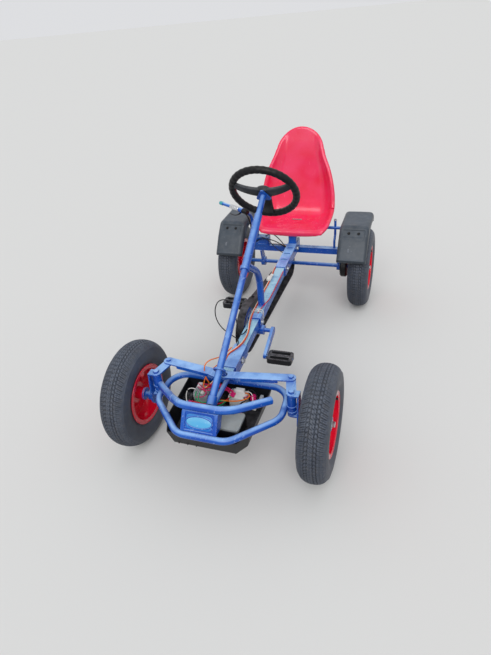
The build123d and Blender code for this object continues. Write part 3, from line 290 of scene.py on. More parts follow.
def wire(name, route, radius, finish, body="chassis", replaces=()):
    """Cable as a smooth curve with the route's points as its control points, in millimetres."""
    curve = bpy.data.curves.new(name, "CURVE")
    curve.dimensions = "3D"
    curve.bevel_depth = radius * MM
    curve.bevel_resolution = 3
    curve.use_fill_caps = True
    curve.resolution_u = 8
    line = curve.splines.new("NURBS")
    line.points.add(len(route) - 1)
    line.points.foreach_set("co", np.column_stack((place(route), np.ones(len(route)))).ravel())
    line.order_u = 3
    line.use_endpoint_u = True
    return fitted(name, curve, finish, body, replaces)


def give_wall(sheet, thickness):
    """Gives a sheet its wall, half of it to each side."""
    wall = sheet.modifiers.new("wall", "SOLIDIFY")
    wall.thickness = thickness
    wall.offset = 0


# Finishes

NOISE, RANGE, MIX, MATH = "ShaderNodeTexNoise", "ShaderNodeMapRange", "ShaderNodeMix", "ShaderNodeMath"


def linear(colour):
    """Linear RGBA of an sRGB hex colour."""
    channels = np.array([int(colour[i:i + 2], 16) for i in (1, 3, 5)]) / 255
    return (*np.where(channels <= 0.04045, channels / 12.92, ((channels + 0.055) / 1.055) ** 2.4).tolist(), 1.0)


def add(tree, kind, values=None, **settings):
    """Adds a node, sets its properties and its sockets; a socket given an output is linked to it."""
    item = tree.nodes.new(kind)
    for name, value in settings.items():
        setattr(item, name, value)
    for name, value in (values or {}).items():
        if isinstance(value, bpy.types.NodeSocket):
            tree.links.new(value, item.inputs[name])
        else:
            item.inputs[name].default_value = value
    return item


class Finish:
    """A material in the making: its node tree and shader, and the colour and roughness that layers are laid over."""

    def __init__(self, name, colour, roughness, metallic=0.0, coat=0.0, round_mm=1.5, gloss=0.5):
        self.material = bpy.data.materials.new(name)
        self.material.use_nodes = True
        self.tree = self.material.node_tree
        self.shader = self.tree.nodes["Principled BSDF"]
        for socket, value in (("Metallic", metallic), ("Coat Weight", coat), ("Coat Roughness", 0.12),
                              ("Specular IOR Level", gloss)):
            self.shader.inputs[socket].default_value = value
        self.where = add(self.tree, "ShaderNodeTexCoord").outputs["Object"]
        self.colour = linear(colour)
        self.roughness = roughness
        self.facing = add(self.tree, "ShaderNodeNewGeometry").outputs["Normal"]
        self.normal = add(self.tree, "ShaderNodeBevel", {"Radius": round_mm * MM}, samples=4).outputs[0]

    # Each pattern below is a share of the surface from 0 up to a share, which may be another pattern

    def patches(self, size_mm, low, high, share=1.0, detail=3.0, stretch=(1.0, 1.0, 1.0)):
        """Cloudy patches of a real size, drawn out along the axes where stretch is small."""
        where = add(self.tree, "ShaderNodeMapping", {"Vector": self.where, "Scale": stretch}).outputs[0]
        cloud = add(self.tree, NOISE, {"Vector": where, "Scale": 1 / (size_mm * MM), "Detail": detail}).outputs["Fac"]
        return add(self.tree, RANGE, {"Value": cloud, "From Min": low, "From Max": high, "To Max": share}).outputs[0]

    def edges(self, share=1.0):
        """Wear on edges: where the rounded normal leaves the true one."""
        dot = add(self.tree, "ShaderNodeVectorMath", {0: self.normal, 1: self.facing}, operation="DOT_PRODUCT")
        limits = {"Value": dot.outputs["Value"], "From Min": 0.99, "From Max": 0.86, "To Max": share}
        return add(self.tree, RANGE, limits).outputs[0]

    def tops(self, share=1.0, low=0.35, high=0.95):
        """What faces up, where the sun fades the colour, dust settles and some finishes paint the sky's light."""
        up = add(self.tree, "ShaderNodeSeparateXYZ", {0: self.facing}).outputs["Z"]
        return add(self.tree, RANGE, {"Value": up, "From Min": low, "From Max": high, "To Max": share}).outputs[0]

    def layer(self, colour, share, roughness=None):
        """Lays a colour, and a roughness if given, over what is there by a share."""
        self.colour = add(self.tree, MIX, {0: share, 6: self.colour, 7: linear(colour)}, data_type="RGBA").outputs[2]
        if roughness is not None:
            self.roughness = add(self.tree, MIX, {0: share, 2: self.roughness, 3: roughness}).outputs[0]

    def grain(self, size_mm, height_mm, detail=2.0):
        """Bumps of a real size and height."""
        cloud = add(self.tree, NOISE, {"Vector": self.where, "Scale": 1 / (size_mm * MM), "Detail": detail})
        height = {"Height": cloud.outputs["Fac"], "Strength": 1.0, "Distance": height_mm * MM, "Normal": self.normal}
        self.normal = add(self.tree, "ShaderNodeBump", height).outputs[0]

    def done(self):
        """Joins what was laid up to the shader."""
        for name, value in (("Base Color", self.colour), ("Roughness", self.roughness), ("Normal", self.normal)):
            if isinstance(value, bpy.types.NodeSocket):
                self.tree.links.new(value, self.shader.inputs[name])
            else:
                self.shader.inputs[name].default_value = value
        return self.material


def blue_enamel(name="blue_enamel", colour="#0E48AE", faded="#2A78D2", sky_highlight_and_fade="#A3CFFF"):
    """Sprayed enamel on steel. The eye sees deep glossy blue, its tops lightened by sun fade and dust and by a painted
    sky highlight, scuffed along the tubes and chipped to pale primer and rust at edges and where things knock it."""
    finish = Finish(name, colour, 0.22, coat=0.2, gloss=0.3)
    finish.layer(faded, finish.patches(110, 0.35, 0.75, 0.5), 0.28)
    # Painted sky highlight: what faces up is lightened, partly by sun fade and dust, partly to stand in for light from
    # above
    finish.layer(sky_highlight_and_fade, finish.tops(finish.patches(60, 0.1, 0.6, 0.8), 0.55, 1.0), 0.3)
    # Scratches are finer than this on the real tube; patches of 9 mm drawn out along it are the least that shows
    finish.layer("#B5CFF2", finish.patches(9, 0.64, 0.7, 0.25, 2.0, (1.0, 0.15, 1.0)), 0.45)
    finish.layer("#C4CCD6", finish.patches(7, 0.5, 0.56, finish.edges(0.7)), 0.6)
    finish.layer("#C3CBD6", finish.patches(13, 0.745, 0.755, 0.8, 4.0), 0.6)
    finish.layer("#3A2A24", finish.patches(9, 0.74, 0.75, 0.9, 4.0), 0.8)
    finish.grain(4, 0.06)
    return finish.done()


def red_enamel():
    """Sprayed enamel on pressed rims. The eye sees glossy crimson with bright streaks of reflected light, a little
    road dust in the dish and small chips on the flanges."""
    finish = Finish("red_enamel", "#E60A30", 0.2, coat=0.6)
    finish.layer("#A80A26", finish.patches(60, 0.45, 0.85, 0.5))
    finish.layer("#C7847C", finish.patches(16, 0.66, 0.9, 0.2, 5.0), 0.5)
    finish.layer("#E9C9C6", finish.patches(6, 0.55, 0.6, finish.edges(0.5)), 0.5)
    finish.grain(4, 0.06)
    return finish.done()


def moulded(name, colour, roughness, light, dust="#A79F93", dusty=0.3, grain_mm=1.0, grain_height=0.05):
    """Injection-moulded plastic. The eye sees a fine even grain, slightly uneven colour, rubbed lighter edges and
    dust lying on what faces up; on the steering wheel's spokes that top colour is also a painted sky highlight."""
    finish = Finish(name, colour, roughness, gloss=0.25)
    finish.layer(light, finish.patches(60, 0.35, 0.8, 0.3))
    finish.layer(light, finish.edges(0.4), roughness + 0.1)
    # What faces up gets dust; on the spokes this pale top colour is also a painted sky highlight
    finish.layer(dust, finish.tops(finish.patches(18, 0.3, 0.75, dusty, 6.0)), 0.8)
    finish.grain(grain_mm, grain_height)
    return finish.done()


def fender_plastic():
    """Grained polypropylene. The eye sees dark slate grey with a soft sheen, a painted sky light that makes the slopes
    facing up lighter, pale rubbed edges and a few light scuffs."""
    finish = Finish("polypropylene_slate", "#2E363F", 0.4, round_mm=3)
    # Painted sky light: the slopes that face up are made lighter to stand in for the light falling on them
    finish.layer("#4F5A67", finish.tops(finish.patches(80, 0.2, 0.7, 0.75), 0.1, 1.0), 0.5)
    finish.layer("#8792A0", finish.edges(0.55), 0.5)
    finish.layer("#8C949C", finish.patches(12, 0.7, 0.74, 0.3, 4.0, (1.0, 0.4, 1.0)), 0.6)
    finish.layer("#9A958C", finish.tops(finish.patches(20, 0.45, 0.8, 0.22, 6.0)), 0.8)
    finish.grain(1.4, 0.06)
    return finish.done()


def rubber():
    """Vulcanised rubber. The eye sees matt charcoal with a bluish cast, painted shade in the grooves, a brownish film
    of road dust, a painted sky light on what faces up and faint mould lines."""
    finish = Finish("vulcanised_rubber", "#3A404D", 0.5, round_mm=0.6)
    groove = add(finish.tree, "ShaderNodeAttribute", attribute_name="groove").outputs["Fac"]
    finish.layer("#4D5462", finish.patches(35, 0.3, 0.7, 0.6))
    # Painted shade: the grooves are darkened to stand in for the shade inside them
    finish.layer("#15181D", add(finish.tree, RANGE, {"Value": groove, "To Max": 0.75}).outputs[0], 0.85)
    finish.layer("#6A655E", finish.patches(14, 0.45, 0.8, 0.3, 6.0), 0.85)
    # Painted sky light: what faces up is lightened to a bluish grey, as the sky lights it
    finish.layer("#6C7685", finish.tops(finish.patches(25, 0.2, 0.7, 0.5)), 0.6)
    finish.grain(1.6, 0.1)
    return finish.done()


def seat_plastic():
    """Rotation-moulded polyethylene. The eye sees saturated pinkish red with a waxy gloss, a faint mottle, and long
    light scuffs where a driver slides on it."""
    finish = Finish("polyethylene_red", "#F01548", 0.24, coat=0.5)
    finish.shader.inputs["Subsurface Weight"].default_value = 0.1
    finish.shader.inputs["Subsurface Radius"].default_value = (0.01, 0.002, 0.003)
    finish.layer("#FB3E78", finish.patches(90, 0.3, 0.75, 0.6), 0.28)
    finish.layer("#FA7FA4", finish.patches(6, 0.66, 0.72, 0.16, 3.0, (1.0, 0.2, 0.2)), 0.4)
    finish.layer("#F58FAA", finish.edges(0.3), 0.4)
    finish.layer("#CFA59A", finish.tops(finish.patches(25, 0.45, 0.8, 0.14, 5.0), 0.6), 0.6)
    finish.grain(28, 0.35, 1.0)
    return finish.done()


def metal(name, colour, roughness, rust=0.2):
    """Plated steel. The eye sees bright uneven metal with dull patches and the first spots of rust."""
    finish = Finish(name, colour, roughness, metallic=1.0, round_mm=0.6)
    finish.layer("#6E6A66", finish.patches(6, 0.5, 0.7, 0.5, 4.0), roughness + 0.2)
    finish.layer("#6B4630", finish.patches(9, 0.62, 0.7, rust, 4.0), 0.8)
    return finish.done()


def hook_up(name, colour):
    """Extruded insulation. The eye sees one even colour with a soft gloss and a little grime."""
    finish = Finish(name, colour, 0.3, round_mm=0.3, gloss=0.3)
    finish.layer("#4A4541", finish.patches(12, 0.55, 0.85, 0.3), 0.5)
    return finish.done()


def chain_guard():
    """Vacuum-formed polypropylene. The eye sees black with a low sheen, and grey dust, scuffs and painted sky light
    along its top.
    """
    finish = Finish("polypropylene_black", "#0C0B0F", 0.4, gloss=0.25)
    # Grey on what faces up: partly dust, partly painted sky light on the guard's top
    finish.layer("#77757A", finish.tops(finish.patches(26, 0.3, 0.7, 0.6, 5.0), 0.45, 0.95), 0.8)
    finish.layer("#4A4850", finish.patches(12, 0.6, 0.8, 0.3, 5.0), 0.7)
    finish.layer("#8E8C92", finish.edges(0.45), 0.5)
    finish.grain(1.2, 0.04)
    return finish.done()


# What makes each finish: the frame's slots first, then the finishes of small trim
WORKSHOP = {
    "blue_paint": blue_enamel,
    "red_paint": red_enamel,
    "tyre_rubber": rubber,
    "seat_plastic": seat_plastic,
    "fender_plastic": fender_plastic,
    "guard_plastic": chain_guard,
    "grip_plastic": lambda: moulded("polyurethane_foam_grip", "#0E0E11", 0.42, "#24252A", dusty=0.1, grain_height=0.1),
    # The spokes' pale top colour is partly dust and partly a painted sky highlight on their tops
    "spoke_plastic": lambda: moulded("glass_filled_nylon", "#26282C", 0.36, "#6B6F76", "#8F9194", 0.5),
    "pedal_plastic": lambda: moulded("nylon_black", "#17181B", 0.42, "#4A4D52", "#8B8A8E", 0.6),
    "motor_black": lambda: moulded("painted_casting", "#141518", 0.38, "#2E3033", grain_mm=3.0),
    "tray_plastic": lambda: moulded("polyethylene_black", "#0F1013", 0.38, "#2B2D33", "#6F6E70", 0.35),
    "module_grey": lambda: moulded("cast_aluminium_grey", "#B4B9BC", 0.4, "#D6D9D9", "#8F8A84", 0.25),
    "module_white": lambda: moulded("abs_white", "#DEDEDA", 0.3, "#F2F2EE", "#A9A399", 0.25),
    "lid_green": lambda: moulded("abs_pale_green", "#9CA3A4", 0.4, "#C6CCCA", "#8F8A82"),
    "cable_black": lambda: hook_up("pvc_black", "#0C0C0F"),
    "wire_orange": lambda: hook_up("pvc_orange", "#F07818"),
    "wire_red": lambda: hook_up("pvc_red", "#D0142E"),
    "wire_magenta": lambda: hook_up("pvc_magenta", "#D8206E"),
    "wire_green": lambda: hook_up("pvc_green", "#1FA868"),
    "wire_white": lambda: hook_up("pvc_white", "#ECE9E2"),
    "zinc": lambda: metal("zinc_plated_steel", "#B9BCC0", 0.32),
    "dark_steel": lambda: metal("blackened_steel", "#3A3B3F", 0.4),
    # The last colour of each enamel below lightens its tops: sun fade and dust with a painted sky highlight
    "beam_blue": lambda: blue_enamel("beam_enamel", "#1A53BC", "#3C9AD0", "#B4E2EA"),
    "plate_blue": lambda: blue_enamel("plate_enamel", "#166AC2", "#3498DC", "#86CCEE"),
    "medallion": lambda: blue_enamel("worn_film", "#58AFE0", "#8CD0DC", "#B0DCE8"),
    "collar_silver": lambda: metal("brushed_collar", "#DADCDE", 0.3, 0.0),
    "label_grey": lambda: moulded("worn_vinyl_label", "#5C6470", 0.45, "#9AA0A8", dusty=0.4),
    "tip_teal": lambda: moulded("vinyl_teal", "#2FA6B0", 0.35, "#62C4CC"),
}
MADE = {}


def finish_named(name):
    """Material of a finish; each is made once."""
    if name not in MADE:
        MADE[name] = WORKSHOP[name]()
    return MADE[name]


# Forms of the tyre, the seat and the fender


def tyre_shell(centre_x, centre_y, pitches, depth):
    """Tyre as a height field on a torus. Section: x = a sgn(sin t)|sin t|^p, r = b + c sgn(cos t)|cos t|^p from bead
    to bead. The tread is cut by zigzag grooves round the tyre and by cross cuts that shift from row to row."""
    around = pitches * 9
    # Where the section's parameter t reaches the beads and the tread's edges, and how far the section is squared off
    bead, tread, power = radians(128), radians(64), 0.88
    t = np.concatenate((np.linspace(-bead, -tread, 18, endpoint=False), np.linspace(-tread, tread, 69),
                        np.linspace(tread, bead, 19)[1:]))
    belly = (TYRE_RADIUS + RIM_RADIUS) / 2 - 2
    x = TYRE_HALF * squared(np.sin(t), power)
    r = belly + (TYRE_RADIUS - belly) * squared(np.cos(t), power)
    s = run(np.column_stack((x, r)))
    s = (s - s[-1] / 2)[None]
    side, half_of = np.abs(s), np.sign(s)
    turn = np.linspace(0, pitches, around, endpoint=False)[:, None]
    pitch = tau * TYRE_RADIUS / pitches

    def cut(distance, half):
        """Groove of some half width with walls 1 mm wide."""
        return np.clip(half + 0.8 - np.abs(distance), 0, 1)

    def cross(offset, half):
        """Groove across the tread in each pitch."""
        return cut(((turn - offset) % 1 - 0.5) * pitch, half)

    # Rows of the tread by distance from the middle line in millimetres: ribs to 11, blocks from 8 to 21.5, lugs from
    # 19 and fine sipes from 24, all fading past 46; the sidewall has raised lines at 56, 60 and 76
    zigzag = 3.4 * np.abs((turn * 2) % 2 - 1) - 1.7
    round_cuts = np.maximum.reduce((cut(s - zigzag, 0.6), cut(side - 9.5 - zigzag, 0.8), cut(side - 20 + zigzag, 0.9),
                                    0.7 * cut(side - 31 - 0.5 * zigzag, 0.5)))
    ribs = (side < 11) * cross(0.25 * half_of + 0.045 * s, 1)
    blocks = (side >= 8) * (side < 21.5) * np.maximum(cross(0.55 + 0.05 * side, 1), 0.6 * cross(1 + 0.03 * side, 0.5))
    lugs = (side >= 19) * cross(0.15 + 0.02 * side + 0.3 * half_of, 1.3)
    sipes = (side >= 24) * 0.7 * cross(0.65 + 0.02 * side + 0.3 * half_of, 0.7)
    reach = window(side, 46 + 2.5 * np.sign(np.sin(pi * (turn + 0.2))), 3)
    groove = np.clip(np.maximum.reduce((round_cuts, ribs, blocks, lugs, sipes)), 0, 1) * reach
    lines = 0.9 * cut(side - 56, 1) + 0.7 * cut(side - 60, 0.8) + 0.8 * cut(side - 76, 1)
    slope_x, slope_r = np.gradient(x), np.gradient(r)
    lift = (lines - depth * groove) / np.hypot(slope_x, slope_r)
    # Three more columns close the section behind the rim's flanges
    inside = np.array(((RIM_HALF - 6, RIM_RADIUS - 9), (0, RIM_RADIUS + 1), (6 - RIM_HALF, RIM_RADIUS - 9)))
    x, r = (np.concatenate((line, np.broadcast_to(column, (around, 3))), axis=1)
            for line, column in zip((x - lift * slope_r, r + lift * slope_x), inside.T))
    angle = lap(around)[:, None]
    points = np.stack((centre_x + x, centre_y + r * np.cos(angle), r * np.sin(angle)), axis=-1)
    return grid(points, close_u=True, close_v=True), np.concatenate((groove, np.zeros((around, 3))), axis=1)


# Seat: stations along its middle line, as y from the rear axle, z, half width at the top of the walls and rise of the
# walls, then how far the row's ends lag behind its middle, which rounds the front corners and the top
SEAT_STATIONS = np.array((
    (-116, 204, 140, 1, 14), (-121, 222, 150, 3, 12), (-108, 236, 160, 8, 10), (-70, 238, 168, 18, 4),
    (-18, 238, 172, 30, 0), (34, 240, 175, 46, 0), (74, 256, 177, 60, 0), (96, 296, 177, 62, 0),
    (106, 350, 174, 56, 0), (116, 410, 163, 50, 0), (128, 470, 144, 43, 0), (141, 530, 118, 31, -4),
    (155, 585, 108, 22, -31), (166, 620, 106, 21, -67), (174, 646, 105.5, 21, -94),
))
# Rolled rim: how far out and how far down from the wall's top
SEAT_RIM = np.array(((3, 0), (6, 0.3), (9, 1.2), (11, 2.8), (12.2, 5.2), (12.4, 8), (12.2, 11)))


def seat_points(rows, cols):
    """Seat sheet. A row bends off the middle line C(t): at share v its point is C(t + lag a(v)) + x + rise f(v) n, with
    a(v) a circle's arc and f = ((|v| - flat) / (1 - flat))^1.8 past the flat middle. Past the walls and the top the rim
    rolls out along the edge's own normal, and down."""
    line = smooth_line(SEAT_STATIONS, 400)
    spine = np.stack((np.zeros(400), WHEELBASE + line[:, 0], line[:, 1]), axis=-1)
    s = run(spine)
    normal = np.cross(X, unit(np.gradient(spine, axis=0)))
    out, down = SEAT_RIM.T
    t = np.concatenate((np.linspace(0, s[-1], rows), np.full(len(out), s[-1])))[:, None]
    out_t, drop_t = (np.concatenate((np.zeros(rows), rim))[:, None] for rim in (out, down))
    v = np.concatenate((-np.ones(len(out)), np.linspace(-1, 1, cols), np.ones(len(out))))[None]
    out_v, drop_v = (np.concatenate((rim[::-1], np.zeros(cols), rim))[None] for rim in (out, down))
    half, rise, lag = (np.interp(t, s, line[:, k]) for k in (2, 3, 4))
    flat, arc = 0.62, 0.96
    bowl = np.clip((np.abs(v) - flat) / (1 - flat), 0, 1) ** 1.8
    # The arc a(v) = (1 - sqrt(1 - arc v^2)) / (1 - sqrt(1 - arc)) and its slope
    root, full = np.sqrt(1 - arc * v ** 2), 1 - np.sqrt(1 - arc)
    arch, steep = (1 - root) / full, arc / full * np.abs(v) / root
    slant = -lag * steep / half
    way_x, way_t = out_v + out_t * slant / np.hypot(1, slant), out_t / np.hypot(1, slant)
    size = np.maximum(out_v, out_t) / np.maximum(np.hypot(way_x, way_t), 1e-9)
    station = t + lag * arch + way_t * size
    lift = rise * bowl - np.maximum(drop_t, drop_v)
    over = np.clip(station - s[-1], 0, None)
    end = unit(spine[-1] - spine[-2])
    y, z = (np.interp(station, s, spine[:, k]) + np.interp(station, s, normal[:, k]) * lift + over * end[k]
            for k in (1, 2))
    return np.stack((half * v + np.sign(v) * way_x * size, y, z), axis=-1)


def over_tyre(angle, gap):
    """Side-view point over the rear tyre: middle + (radius + gap) (cos a, sin a), with the angle in degrees."""
    turn = np.radians(angle)
    return np.stack((WHEELBASE + (TYRE_RADIUS + gap) * np.cos(turn), (TYRE_RADIUS + gap) * np.sin(turn)), axis=-1)


# Fender: outline and skirt as in the part, each as angle round the wheel and gap over the tread
FENDER_LINE = np.array(((148.8, 22), (149.8, 41), (126.4, 52.5), (110.6, 75), (69.6, 74.6), (60.6, 70), (60.4, 35.4)))
FENDER_BENDS = (11, 34, 34, 22, 12)
FENDER_SKIRT = np.array(((60.2, 35.4), (113.6, 22.8), (136.4, 18), (148.8, 22)))
FENDER_CORNER = 15


def fender_shell(low_x, high_x):
    """Fender sheet. Its outline P(s) is bent over the tyre; a section runs from the skirt up the side by a rounded
    corner, across, and down again: P + depth towards the axle. The front slope has a sunk panel and a raised hem."""
    path = rounded(over_tyre(*FENDER_LINE.T), FENDER_BENDS)
    s = run(path)[:, None]
    spoke = path - (WHEELBASE, 0)
    reach = np.linalg.norm(spoke, axis=1)
    inward = -spoke / reach[:, None]
    skirt = np.interp(np.degrees(np.arctan2(spoke[:, 1], spoke[:, 0])), *FENDER_SKIRT.T)
    leg = np.maximum(reach - TYRE_RADIUS - skirt, 0.05)[:, None]
    along = unit(np.gradient(path, axis=0))
    outward = np.stack((-along[:, 1], along[:, 0]), axis=-1)
    outward *= np.sign(np.sum(outward * spoke, axis=1))[:, None]
    half, middle_x = (high_x - low_x) / 2, (low_x + high_x) / 2
    turn = np.linspace(0, pi / 2, 9)[None, 1:]
    soft = np.minimum(FENDER_CORNER, leg)
    leg_depth = leg + (soft - leg) * np.linspace(0, 1, 9)[None]
    corner_depth = soft * (1 - np.sin(turn))
    corner_x = half - FENDER_CORNER * (1 - np.cos(turn))
    across = np.linspace(FENDER_CORNER - half, half - FENDER_CORNER, 56)[None, 1:-1]
    x = np.concatenate((np.full((1, 9), -half), -corner_x, across, corner_x[:, ::-1], np.full((1, 9), half)), axis=1)
    depth = np.concatenate((leg_depth, corner_depth, np.zeros((len(path), across.size)), corner_depth[:, ::-1],
                            leg_depth[:, ::-1]), axis=1)
    # The front corners are round too: the section narrows over the first 16 mm
    narrow = 1 - FENDER_CORNER / half * (1 - np.sqrt(1 - np.clip(1 - s / 16, 0, 0.995) ** 2))
    slope_middle = (over_tyre(*FENDER_LINE[2]) + over_tyre(*FENDER_LINE[3])) / 2
    slope_s = s[np.argmin(np.linalg.norm(path - slope_middle, axis=1))]
    panel_s = s - slope_s - 4
    sunk = 4 * window(panel_s, 18.5, 2.6) * window(x, 52, 2.6)
    hem = 2 * window(s - 24, 1.8, 2.4) * window(x, half - 3, 4)
    crown = 1.5 * (1 - (x / half) ** 2)
    lift = hem - sunk + crown * (depth < 0.01)
    y, z = (path[:, k:k + 1] + inward[:, k:k + 1] * depth + outward[:, k:k + 1] * lift for k in (0, 1))
    facing = unit(np.array((0, *outward[np.argmin(np.abs(s - slope_s))])))
    centre = np.array((middle_x, *path[np.argmin(np.abs(panel_s))]))
    return grid(np.stack((middle_x + x * narrow, y, z), axis=-1)), centre, facing


# Operators, one for each group of pieces


def shown(context):
    """Sizes and colours as they stand in the panel."""
    return context.scene.kart


class KartSizes(bpy.types.PropertyGroup):
    """Sizes and colours that a user may change."""

    tread_pitches: IntProperty(name="Tread pitches", description="Lugs round each tyre", default=84, min=40, max=120)
    tread_depth: FloatProperty(name="Tread depth", description="Depth of the grooves", default=0.0032, unit="LENGTH")
    seat_wall: FloatProperty(name="Seat wall", description="Thickness of the seat shell", default=0.0045, unit="LENGTH")
    fender_wall: FloatProperty(name="Fender wall", description="Thickness of the fenders", default=0.0035,
                               unit="LENGTH")
    weld_bead: FloatProperty(name="Weld bead", description="Radius of a weld bead", default=0.0026, unit="LENGTH")
    grip_radius: FloatProperty(name="Grip", description="Radius of the steering wheel's rim", default=0.0148,
                               unit="LENGTH")
    floor_colour: FloatVectorProperty(name="Floor", description="Colour of floor and backdrop", subtype="COLOR",
                                      size=4, default=linear("#DADAD8"), min=0.0, max=1.0)
    light_level: FloatProperty(name="Light", description="Strength of the sky straight above", default=0.76)
    sun_level: FloatProperty(name="Key light", description="Strength of the broad soft sun", default=1.6)


class KART_OT_finishes(bpy.types.Operator):
    """Give every carried-over node the finish of its slot"""

    bl_idname = "kart.finishes"
    bl_label = "Finishes of the frame's nodes"

    def execute(self, context):
        for name, thing in frame["nodes"].items():
            thing.data.materials.clear()
            thing.data.materials.append(finish_named("beam_blue" if name == "main_beam" else SLOTS[name]))
        return {"FINISHED"}


class KART_OT_tyres(bpy.types.Operator):
    """Make the four tyres with their block tread and raised sidewall lines"""

    bl_idname = "kart.tyres"
    bl_label = "Tyres"

    def execute(self, context):
        sizes = shown(context)
        for end, side, _, x, y, body in WHEELS:
            shell, groove = tyre_shell(x, y, sizes.tread_pitches, sizes.tread_depth / MM)
            node = f"tyre_{end}_{side}"
            piece(f"{node}_rubber", [shell], "tyre_rubber", body, (node,), 50, groove)
        return {"FINISHED"}


class KART_OT_wheel_trim(bpy.types.Operator):
    """Make the rolled rim lips, the ribs of the discs, the hub rings and the valve stems"""

    bl_idname = "kart.wheel_trim"
    bl_label = "Wheel trim"

    def execute(self, context):
        cap = ((29, 24.1), (30, 24.5), (33, 24.5), (35.5, 23), (36, 17), (36, 10.2))
        stem = ((0, 0), (0, 4.6), (6, 4.6), (9, 3.4), (22, 3), (22.5, 3.9), (30, 3.9), (31, 0))
        stem_turn, stem_reach = 0.9, 86
        for end, side, sign, x, y, body in WHEELS:
            name, axis, middle = f"{end}_{side}", sign * X, np.array((x, y, 0))
            lips = [tube(ring(middle + face * (RIM_HALF - 0.5) * X, Y, Z, RIM_RADIUS + 0.2, 96), 2.6, 12, True, X)
                    for face in (1, -1)]
            piece(f"rim_lips_{name}", lips, "red_paint", body)
            # Pressed ribs stand between the disc's holes on both faces: the disc lies 16 to 19 mm outside the middle
            ribs = []
            for turn in tau * (np.arange(5) + 0.5) / 5:
                out = np.array((0, -sin(turn), cos(turn)))
                ribs += [pillow(middle + face * axis + 80 * out, (30, 9, 5), 2.4, 3, 13, 32, axis, out)
                         for face in (15.6, 19.4)]
            piece(f"rim_ribs_{name}", ribs, "red_paint", body)
            caps = [turned([(face * s, r) for s, r in cap], middle, axis) for face in (1, -1)]
            piece(f"hub_rings_{name}", caps, "blue_paint" if end == "front" else "red_paint", body)
            foot = middle + 16 * axis + stem_reach * np.array((0, cos(stem_turn), sin(stem_turn)))
            piece(f"valve_stem_{name}", [turned(stem, foot, axis, 16)], "cable_black", body)
        return {"FINISHED"}


class KART_OT_seat(bpy.types.Operator):
    """Make the bucket seat as one sheet with a rolled rim and a slot, then give it its wall"""

    bl_idname = "kart.seat"
    bl_label = "Seat"

    def execute(self, context):
        vertices, quads = grid(seat_points(110, 81))
        x, y, z = vertices[quads].mean(axis=1).T
        slot_y = WHEELBASE + 22
        slot = (np.abs(x) < 28) & (np.abs(y - slot_y) < 4.5) & (z < 262)
        seat = piece("seat_shell", [(vertices, quads[~slot])], "seat_plastic", "seat", ("seat",), 180)
        give_wall(seat, shown(context).seat_wall)
        soft = seat.modifiers.new("smooth", "SUBSURF")
        soft.levels = 1
        soft.render_levels = 1
        # Painted shade: a dark block under the slot stands in for the shadow seen through it
        slot_shade = pillow((0, slot_y, 232), (60, 12, 9), 1, 10)
        piece("seat_slot_painted_shade", [slot_shade], "tray_plastic", "seat")
        return {"FINISHED"}


class KART_OT_steering_wheel(bpy.types.Operator):
    """Make the foam rim with its finger ripples, the three broad spokes and the hub"""

    bl_idname = "kart.steering_wheel"
    bl_label = "Steering wheel"

    def execute(self, context):
        to_driver = np.cross(COLUMN_AXIS, X)
        centre = COLUMN_TOP + 20 * COLUMN_AXIS
        count, ripple_count, ring_radius = 288, 36, 130
        ripples = shown(context).grip_radius / MM * (0.97 + 0.03 * np.cos(ripple_count * lap(count)))
        path = ring(centre, X, to_driver, ring_radius, count)
        piece("steering_grip", [tube(path, ripples, 28, True, COLUMN_AXIS)], "grip_plastic", "steering",
              ("steering_wheel",), 180)
        spokes = []
        share = np.linspace(0, 1, 24)[:, None]
        # Spokes: place round the rim, half width at the hub and at the rim. Each runs from 18 to 124 mm out, dished by
        # up to 9 mm, and its section is a circle squared off
        for degrees_round, root, tip in ((-22, 22, 14), (202, 22, 14), (90, 27, 22)):
            turn = radians(degrees_round)
            out = cos(turn) * X + sin(turn) * to_driver
            along = centre + (18 + 106 * share) * out - (3 + 6 * np.sin(pi * share)) * COLUMN_AXIS
            half = root + (tip - root) * share ** 0.8
            wide = squared(np.cos(lap(36)), 0.45) * half
            deep = squared(np.sin(lap(36)), 0.6) * (10 - 3 * share)
            body = along[:, None] + wide[..., None] * np.cross(COLUMN_AXIS, out) + deep[..., None] * COLUMN_AXIS
            ends = (np.broadcast_to(end, (1, 36, 3)) for end in (along[0], along[-1]))
            spokes.append(grid(np.concatenate((next(ends), body, next(ends))), close_v=True))
        piece("steering_spokes", spokes[:2], "spoke_plastic", "steering", (), 50)
        piece("steering_lap_spoke", spokes[2:], "grip_plastic", "steering", (), 50)
        hub = ((-13, 0), (-13, 30), (-4, 35), (6, 35), (10, 31), (11, 24), (9.5, 22), (9.5, 0))
        piece("steering_hub", [turned(hub, centre, COLUMN_AXIS, 64)], "spoke_plastic", "steering")
        nut = ((9.5, 0), (9.5, 9), (15, 9), (16.5, 7.6), (16.5, 0))
        piece("steering_nut", [turned(nut, centre, COLUMN_AXIS, 6)], "zinc", "steering")
        return {"FINISHED"}


